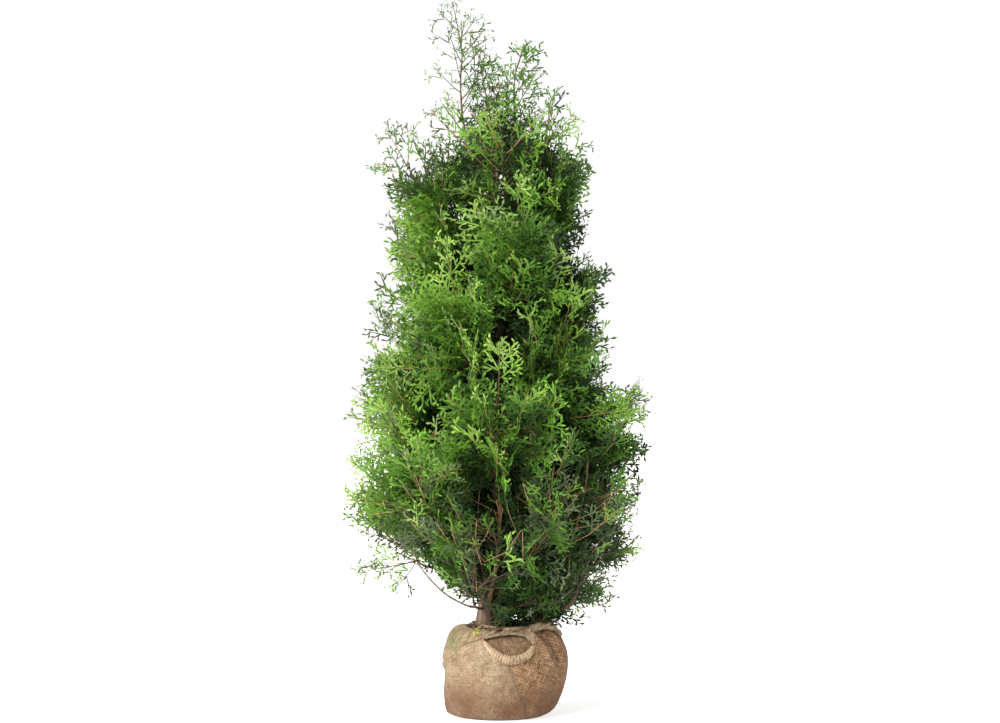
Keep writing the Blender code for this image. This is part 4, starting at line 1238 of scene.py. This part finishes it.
def cloth_marks(name, points):
    """How far each point of a cloth is stretched, damp and in a crease's painted shade, from 0 to 1."""
    degrees, heights = np.degrees(np.arctan2(points[:, 1], points[:, 0])), points[:, 2]
    far, side = line_offsets(degrees, heights, STRETCH_EDGE)
    near_front = np.clip((80 - np.abs(np.mod(degrees + 30 + 180, 360) - 180)) / 30, 0, 1)
    stretched = near_front * np.clip(far * -side / 0.006, 0, 1)
    damp = sum(
        strength * np.exp(-np.sum(((points - spot) / spread) ** 2, axis=1))
        for spot, spread, strength in DAMP_SPOTS[name]
    )
    # Painted shade, just under the edges of overlaps and along hollow folds
    crease_shade = np.zeros(len(points))
    for line, height, _ in OVERLAPS:
        far, side = line_offsets(degrees, heights, line)
        under = far * -side * np.sign(height)
        dark = np.exp(-((under - 0.0012) / 0.0026) ** 2) * min(abs(height) / 0.0065, 1)
        crease_shade = np.maximum(crease_shade, dark)
    for line, height, width in FOLDS:
        far, _ = line_offsets(degrees, heights, line)
        crease_shade = np.maximum(crease_shade, np.exp(-((far / width * 1.6) ** 2)) * (0.8 if height < 0 else 0))
    return {"stretched": stretched, "damp": damp, "crease_shade": crease_shade}


def cloth_mesh(name, inset, relief, window):
    """The burlap spun from its profile, slumped and folded, and with a window where it has one."""
    shape = spun_cloth(inset)
    moved = cloth_shape(np.array([v.co for v in shape.verts]), relief)
    for vert, p in zip(shape.verts, moved):
        vert.co = p
    if window:
        open_up(shape)
    made = finished(name, shape)
    marks = np.empty(len(made.vertices) * 3, np.float32)
    made.vertices.foreach_get("co", marks)
    for label, values in cloth_marks(name, marks.reshape(-1, 3).astype(float)).items():
        layer = made.attributes.new(label, "FLOAT", "POINT")
        layer.data.foreach_set("value", values.astype(np.float32))
    return made


def on_ball(x, z, clear):
    """A point on the front of the ball at a place across and a height, held clear of it."""
    low, high = next((a, b) for a, b in zip(BALL_OUTLINE, BALL_OUTLINE[1:]) if z <= b[1])
    radius = low[0] + (high[0] - low[0]) * (z - low[1]) / (high[1] - low[1])
    point = Vector((x, -math.sqrt(max(radius**2 - x**2, 0)), z))
    run = Vector((high[0] - low[0], high[1] - low[1])).normalized()
    out = Vector((point.x, point.y, 0)).normalized()
    return point + (out * run.y - UP * run.x) * clear


PUCKER_LENGTH = 0.0068
STRAND_TURN = 0.034
# What a roll's threads are spaced for round it
ROLL_RADIUS = 0.007


def roll_mesh(name, line, radii, puckers, twist, sides=20, step=0.0016):
    """A rolled hem: a swept tube with crosswise puckers or lengthwise twisted strands."""
    shape = bmesh.new()
    fine = even_line(line, step)
    widths = [radii(i / (len(fine) - 1)) for i in range(len(fine))]
    verts = sweep(shape, fine, widths, sides)
    shape.normal_update()
    rings = np.repeat(np.arange(len(fine)), sides)
    threads = shape.loops.layers.uv.new("threads")
    where = {}
    for vert, ring in zip(verts, rings):
        centre = fine[ring]
        arm = vert.co - centre
        before, after = fine[max(ring - 1, 0)], fine[min(ring + 1, len(fine) - 1)]
        local = frames_along([before, centre, after])[1].inverted() @ vert.co
        angle = math.atan2(local.y, local.x)
        share = ring / (len(fine) - 1)
        reach = share * line_length(fine)
        wave = reach / PUCKER_LENGTH * 2 * math.pi
        bulge = puckers * math.sin(wave + 1.4 * math.sin(angle) + 1.3 * math.sin(reach * 90))
        strand = twist * math.sin(3 * angle + reach * 2 * math.pi / STRAND_TURN)
        rough = 0.0009 * noise.noise(vert.co * 160)
        fade = min(share * 8, (1 - share) * 8, 1)
        vert.co = vert.co + arm.normalized() * ((bulge + strand) * fade + rough)
        where[vert] = (reach, angle * ROLL_RADIUS)
    for face in shape.faces:
        base = where.get(face.loops[0].vert, (0, 0))[1]
        for loop in face.loops:
            u, v = where.get(loop.vert, (0, 0))
            loop[threads].uv = (u, base + math.remainder(v - base, 2 * math.pi * ROLL_RADIUS))
    return finished(name, shape)


# ------------------------------------------------------------------ the plant

axis = smooth_line(TRUNK_ROUTE, 8)
stems = {"trunk": axis}
for stem_name, route in STEM_ROUTES.items():
    foot, _, _ = STEM_FEET[stem_name]
    first = leaving(axis, *foot, 0.005) if foot else []
    stems[stem_name] = first + smooth_line(route, 6)
fine_shoots = [smooth_line(route, 5) for route in FINE_SHOOTS]

plans = mass_plans()
for plan in plans:
    foot = max(plan["heart"].z - BOUGH_FOOT_DROP, LOWEST_BOUGH)
    plan["stem"] = limb_line(axis, foot, plan["degrees"], plan["heart"], plan["tip"])


def before_shoots(root, tip):
    """Whether a spray hides the front stem or a fine shoot from the front."""
    if min(root.z, tip.z) > SHOOTS_SEEN_TO:
        return False
    seen = [(stems["front_stem"], STEM_GAP_HALF), *((line, GAP_HALF) for line in fine_shoots)]
    for line, half in seen:
        for share in (0.3, 0.6, 0.95):
            p = root.lerp(tip, share)
            if line[0].z < p.z < line[-1].z and p.y < line[0].y:
                shoot = at_height(line, p.z)
                if abs(p.x - shoot.x) < half and p.y < shoot.y:
                    return True
    return False


shapes = [spray_shape(random.Random(k), *kind) for kind in SPRAY_KINDS for k in range(SHAPES_EACH)]
foliage = Foliage(shapes, before_shoots)
for plan in plans:
    draw = random.Random(plan["name"] + "sprays")
    for layer, least, most in LAYERS:
        for frond in sprout(plan, plan["stem"][3:], layer, least, most):
            foliage.frond(draw, *frond)
    foliage.inner(draw, plan["stem"], INNER_SPRAYS)

foliage.free = True
draw = random.Random("low fronds")
for count, (low, high), sources, foliage.tones in LOW_FRONDS:
    # A row that starts right of the ball's middle arches higher
    arch = UP * (0.004 + 0.06 * (low[0] > 0))
    for _ in range(count):
        target = Vector([draw.uniform(a, b) for a, b in zip(low, high)])
        far = {name: (at_height(stems[name], NEAREST_AT) - target).length for name in sources}
        stem = stems[min(far, key=far.get)]
        root = at_height(stem, max(target.z - 0.05, 0.222))
        face = bearing(draw.uniform(-130, -50))
        foliage.frond(draw, root, root.lerp(target, 0.5) + arch, target, face)
foliage.tones = FROND_TONES

for name, (springs, route, count, longest, last, radius) in CLIMBERS.items():
    climb = smooth_line(route, 3)
    crowded = 1.0
    if springs == "low_bough":
        stem = [LOW_BOUGH_FORK, *climb]
    elif springs in stems:
        bare = [p for p in stems[springs] if p.z > LEADER_LEAVES]
        count = round(count * (1 + line_length(bare) / line_length(climb)))
        stem = [*bare, *climb]
        crowded = LEADER_CROWDED
    else:
        stem = [*leaving(axis, *springs, radius), *climb]
    foliage.skirted = springs != "low_bough"
    plan = {"name": name, "count": count, "longest": longest, "last": last, "crowded": crowded}
    plan["stem"] = stem
    draw = random.Random(name + "sprays")
    for frond in sprout_leader(plan, stem):
        foliage.frond(draw, *frond)
    plans.append(plan)

# The sprays of each green and the twigs of each bark are joined, and stand for all the masses
masses = [plan["name"] for plan in plans]
for tint, colour in TINTS.items():
    picked = [s for s in foliage.sprays if s[5] == tint]
    pieces = math.ceil(len(laid_sprays(picked, shapes)[1]) / MOST_FACES)
    material = plain(tint, colour, 0.55)
    for k in range(pieces):
        mesh = mesh_of_arrays(tint, *laid_sprays(picked[k::pieces], shapes))
        place(f"{tint}_{k + 1}", mesh, material, masses)
for name, colour, grey in TWIG_BARKS:
    picked = [laid_twig(twig) for twig in foliage.twigs if is_grey(twig[-1]) == grey]
    place(name, mesh_of_arrays(name, *joined(picked)), plain(name, colour, 0.7), masses)

# ------------------------------------------------------------------ limbs with bark

# The ridges' and the fissures' colours, how close the strings are, and their scale upwards
BARKS = {
    "old_bark": ((0.345, 0.205, 0.130), (0.085, 0.048, 0.034), 120.0, 0.10),
    "red_bark": ((0.175, 0.100, 0.060), (0.065, 0.035, 0.024), 160.0, 0.14),
    "shoot_bark": ((0.420, 0.205, 0.100), (0.190, 0.090, 0.050), 160.0, 0.14),
    "grey_bark": ((0.310, 0.225, 0.175), (0.120, 0.078, 0.060), 160.0, 0.14),
}
barks = {name: bark_finish(name, *look) for name, look in BARKS.items()}
OLD_STEMS = ("left_leader", "right_stem")
STEM_BARKS = {"low_bough": "grey_bark", "front_stem": "shoot_bark"}

# The trunk's bark stands proud of its wood
BARK_DEPTH = 0.0008
trunk_mesh = limb_mesh("trunk", axis, lambda share, p: trunk_radius(p.z) + BARK_DEPTH, 28, 0.0022)
place("trunk_bark", trunk_mesh, barks["old_bark"], ["trunk"], smooth=True)
for stem_name, (_, thick, thin) in STEM_FEET.items():
    line = stems[stem_name]
    mesh = limb_mesh(stem_name, line, lambda share, p: thick + (thin - thick) * share, 14, 0.0009)
    covered = [stem_name] + (["low_bough_bend"] if stem_name == "low_bough" else [])
    old = stem_name in OLD_STEMS
    look = barks[STEM_BARKS.get(stem_name, "old_bark" if old else "red_bark")]
    place(stem_name + "_bark", mesh, look, covered, smooth=True)


def tapered(shape, line, step, thick, thin):
    """A seven-sided limb that tapers evenly along a line; gives its vertices."""
    fine = even_line(line, step)
    widths = [thick + (thin - thick) * i / (len(fine) - 1) for i in range(len(fine))]
    return sweep(shape, fine, widths, 7)


shape = bmesh.new()
for plan in plans:
    thick = CLIMBERS[plan["name"]][5] if plan["name"] in CLIMBERS else BOUGH_RADIUS * 0.7
    verts = tapered(shape, plan["stem"], 0.012, thick, STEM_TIP_RADIUS * 0.6)
    roughened(shape, verts, 0.0005, 120, 0.3)
boughs = [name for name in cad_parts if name.startswith("bough_")]
shoots = bmesh.new()
for line in fine_shoots:
    tapered(shoots, line, 0.010, 0.0030, 0.0012)
shoots = finished("shoots", shoots)
place("shoot_bark", shoots, barks["shoot_bark"], ["front_stem"], smooth=True)
shape = finished("boughs", shape)
place("bough_bark", shape, barks["red_bark"], boughs + masses, smooth=True)

# ------------------------------------------------------------------ root ball

# The thread spacing where the cloth is close and where it is stretched, the colours of the pale
# and the brown threads, and how dirty its foot is
BURLAPS = {
    "jute": (0.0044, 0.0062, (0.455, 0.350, 0.232), (0.262, 0.176, 0.105), 0.95),
    # The hem's paler jute is a copy with painted light on its raised roll, and the inner cloth's darker
    # jute a copy with painted shade inside the ball
    "lit_hem_jute": (0.0032, 0.0032, (0.660, 0.500, 0.340), (0.400, 0.270, 0.165), 0.3),
    "shaded_inner_jute": (0.0056, 0.0056, (0.330, 0.212, 0.122), (0.150, 0.086, 0.048), 0.2),
}
weave = weave_group()
burlaps = {name: burlap_finish(name, weave, *look) for name, look in BURLAPS.items()}


def hem_radius(share):
    """The window hem's radius: it thickens to the middle of its sag."""
    return 0.0040 + 0.0072 * math.sin(math.pi * share) ** 0.7


def collar_radius(share):
    """The neck hem's radius: uneven all round."""
    return 0.0048 + 0.0012 * math.sin(share * 37)


def knot_radius(share):
    """The twisted corner's radius: thick in the middle, with lumps."""
    return 0.0045 + 0.0042 * math.sin(math.pi * share) + 0.0012 * math.sin(share * 21)


hem = smooth_line([on_ball(x, z - 0.0045, 0.0005) for x, z in WINDOW], 6)
lid = [on_ball(x, z, 0.0035) for x, z in WINDOW_LID]
lid = smooth_line([on_ball(*WINDOW[-1], 0.004), *lid, on_ball(*WINDOW[0], 0.004)], 6)
neck = [
    NECK_CENTRE + bearing(t) * (NECK_RADIUS + 0.003 * math.sin(math.radians(3 * t)))
    + UP * (BALL_TOP + 0.0022 + 0.0018 * math.sin(math.radians(5 * t)))
    for t in range(-100, 262, 6)
]
twisted = smooth_line([
    on_ball(*WINDOW[-1], 0.006), (0.062, -0.104, 0.2130), (0.070, -0.090, 0.2225),
    (0.090, -0.078, 0.2260), (0.108, -0.062, 0.2250), (0.124, -0.040, 0.2150), (0.136, -0.020, 0.1980),
], 6)
LID_RADIUS = 0.0032
# Each piece of burlap: its mesh, its cloth and the node that it stands for
for name, mesh, cloth, node in (
    ("burlap_cloth", cloth_mesh("cloth", 0.0, 1.0, True), "jute", "burlap_wrap"),
    ("inner_cloth", cloth_mesh("inner", 0.0075, 0.25, False), "shaded_inner_jute", "root_ball"),
    ("window_hem", roll_mesh("hem", hem, hem_radius, 0.0013, 0.0), "lit_hem_jute", "burlap_swag"),
    (
        "window_lid_hem", roll_mesh("lid", lid, lambda share: LID_RADIUS, 0.0005, 0.0006),
        "jute", "burlap_swag",
    ),
    (
        "neck_hem", roll_mesh("collar", neck, collar_radius, 0.0007, 0.0006, 16, 0.0028),
        "jute", "burlap_collar",
    ),
    ("twisted_corner", roll_mesh("knot", twisted, knot_radius, 0.0006, 0.0018), "jute", "burlap_knot"),
):
    place(name, mesh, burlaps[cloth], [node], smooth=True)

# Yellow scraps of spray on the cloth: where, how they are turned and how long they are
FALLEN = ((-0.080, 0.2045, 20, 0.026), (-0.074, 0.2075, -35, 0.020), (-0.066, 0.203, 70, 0.016))
fallen = []
for x, z, turn, long in FALLEN:
    rest, lower = on_ball(x, z, 0.006), on_ball(x, z - 0.01, 0.006)
    down = (lower - rest).normalized()
    face = across(down, Vector((x, rest.y, 0.1)))
    way = Matrix.Rotation(math.radians(turn + 90), 3, face) @ down
    fallen.append((0, rest, way, face, long, "yellow_leaf"))
mesh = mesh_of_arrays("fallen", *laid_sprays(fallen, shapes))
yellow = plain("yellow_leaf", (0.430, 0.400, 0.060), 0.6)
place("fallen_leaf", mesh, yellow, ["burlap_wrap"])

EARTH_LEVEL = 0.2145
# Heaps of earth at the neck: where their middles are, and how high and wide they are
HEAPS = (((-0.055, -0.015), 0.010, 0.045), ((0.075, 0.0), 0.007, 0.035))
shape = bmesh.new()
bmesh.ops.create_grid(shape, x_segments=90, y_segments=90, size=NECK_RADIUS + 0.004)
corners = [v for v in shape.verts if v.co.length > NECK_RADIUS + 0.001]
bmesh.ops.delete(shape, geom=corners, context="VERTS")
for vert in shape.verts:
    p = vert.co + NECK_CENTRE
    heap = sum(h * math.exp(-((p.xy - Vector(middle)).length / wide) ** 2) for middle, h, wide in HEAPS)
    grain = 0.0035 * noise.noise(p * 60) + 0.0016 * noise.noise(p * 170)
    vert.co = p + UP * (EARTH_LEVEL + heap + grain)
earth = earth_finish()
place("neck_earth", finished("earth", shape), earth, ["root_ball"], smooth=True)


def scraps(name, material, draw, count, spot, size, flat):
    """Small lumps or flakes lying about: low-sided spheres, each knocked out of shape."""
    shape = bmesh.new()
    for _ in range(count):
        middle = spot(draw)
        turn = Matrix.Rotation(draw.uniform(0, 6.28), 4, "Z")
        turn = turn @ Matrix.Rotation(draw.uniform(-0.5, 0.5), 4, "X")
        own = size * draw.uniform(0.5, 1.3)
        stretch = Matrix.Diagonal((own, own * draw.uniform(0.4, 0.9), own * flat, 1))
        seat = Matrix.Translation(middle) @ turn @ stretch
        made = bmesh.ops.create_icosphere(shape, subdivisions=1, radius=1, matrix=seat)
        for vert in made["verts"]:
            vert.co += (vert.co - middle) * draw.uniform(-0.3, 0.3)
    place(name, finished(name, shape), material, ["root_ball"])


def neck_spot(draw):
    """A place on the earth inside the neck."""
    turn, reach = draw.uniform(0, 360), NECK_RADIUS * draw.uniform(0.25, 0.97)
    return NECK_CENTRE + bearing(turn) * reach + UP * (0.2175 + draw.uniform(0, 0.004))


def shoulder_spot(draw):
    """A place on the neck's rim and the cloth's shoulder, round the left side."""
    turn, reach = draw.uniform(130, 262), NECK_RADIUS + draw.uniform(-0.012, 0.016)
    return NECK_CENTRE + bearing(turn) * reach + UP * (0.2215 - max(reach - NECK_RADIUS, 0) * 0.15)


# Litter: how many, where, how big and how flat
draw = random.Random("litter")
scales = plain("dry_scales", (0.30, 0.16, 0.07), 0.8)
scraps("neck_clods", earth, draw, 170, neck_spot, 0.0062, 0.7)
scraps("shoulder_clods", earth, draw, 110, shoulder_spot, 0.0056, 0.6)
scraps("dry_scales", scales, draw, 70, shoulder_spot, 0.0045, 0.25)

# ------------------------------------------------------------------ floor, light and camera

floor_mesh = bpy.data.meshes.new("floor")
shape = bmesh.new()
bmesh.ops.create_grid(shape, x_segments=1, y_segments=1, size=30)
shape.to_mesh(floor_mesh)
shape.free()
pale_floor = plain("pale_floor", (0.70, 0.70, 0.70), 0.9)
glow = pale_floor.node_tree.nodes["Principled BSDF"].inputs
glow["Emission Color"].default_value = (1, 1, 1, 1)
glow["Emission Strength"].default_value = 0.72
floor_mesh.materials.append(pale_floor)
hang("floor", floor_mesh)

# A white backdrop to the camera, and a softer, slightly warm light to everything else
world = bpy.data.worlds.new("studio")
bpy.context.scene.world = world
world.use_nodes = True
nodes, links = world.node_tree.nodes, world.node_tree.links
seen = nodes["Background"]
seen.inputs["Color"].default_value = (1, 1, 1, 1)
seen.inputs["Strength"].default_value = 1.1
soft = nodes.new("ShaderNodeBackground")
soft.inputs["Color"].default_value = (1, 1, 0.96, 1)
soft.inputs["Strength"].default_value = 0.40
ray = nodes.new("ShaderNodeLightPath")
mix = nodes.new("ShaderNodeMixShader")
links.new(ray.outputs["Is Camera Ray"], mix.inputs["Fac"])
links.new(soft.outputs["Background"], mix.inputs[1])
links.new(seen.outputs["Background"], mix.inputs[2])
links.new(mix.outputs["Shader"], nodes["World Output"].inputs["Surface"])


def add_sun(name, strength, spread, colour, aim):
    """A sun that shines along a direction, its shadows softened by its spread in degrees."""
    lamp = bpy.data.lights.new(name, "SUN")
    lamp.energy, lamp.angle, lamp.color = strength, math.radians(spread), colour
    hung = hang(name, lamp)
    hung.rotation_mode = "QUATERNION"
    hung.rotation_quaternion = Vector(aim).to_track_quat("-Z", "Y")


add_sun("key", 4.4, 46, (1.0, 0.97, 0.91), (3.2, 3.2, -3.4))
add_sun("fill", 1.3, 100, (1.0, 1.0, 0.97), (3.0, 1.6, -1.0))

# The view is level, from 6 m in front of the plant and half its height
camera = bpy.data.cameras.new("camera")
camera.sensor_width = 36
camera.lens = 87.55
holder = hang("camera", camera)
holder.location = (-0.0123, -6.0, 0.87)
holder.rotation_euler = (math.pi / 2, 0, 0)
bpy.context.scene.camera = holder
bpy.context.scene.view_settings.view_transform = "Standard"
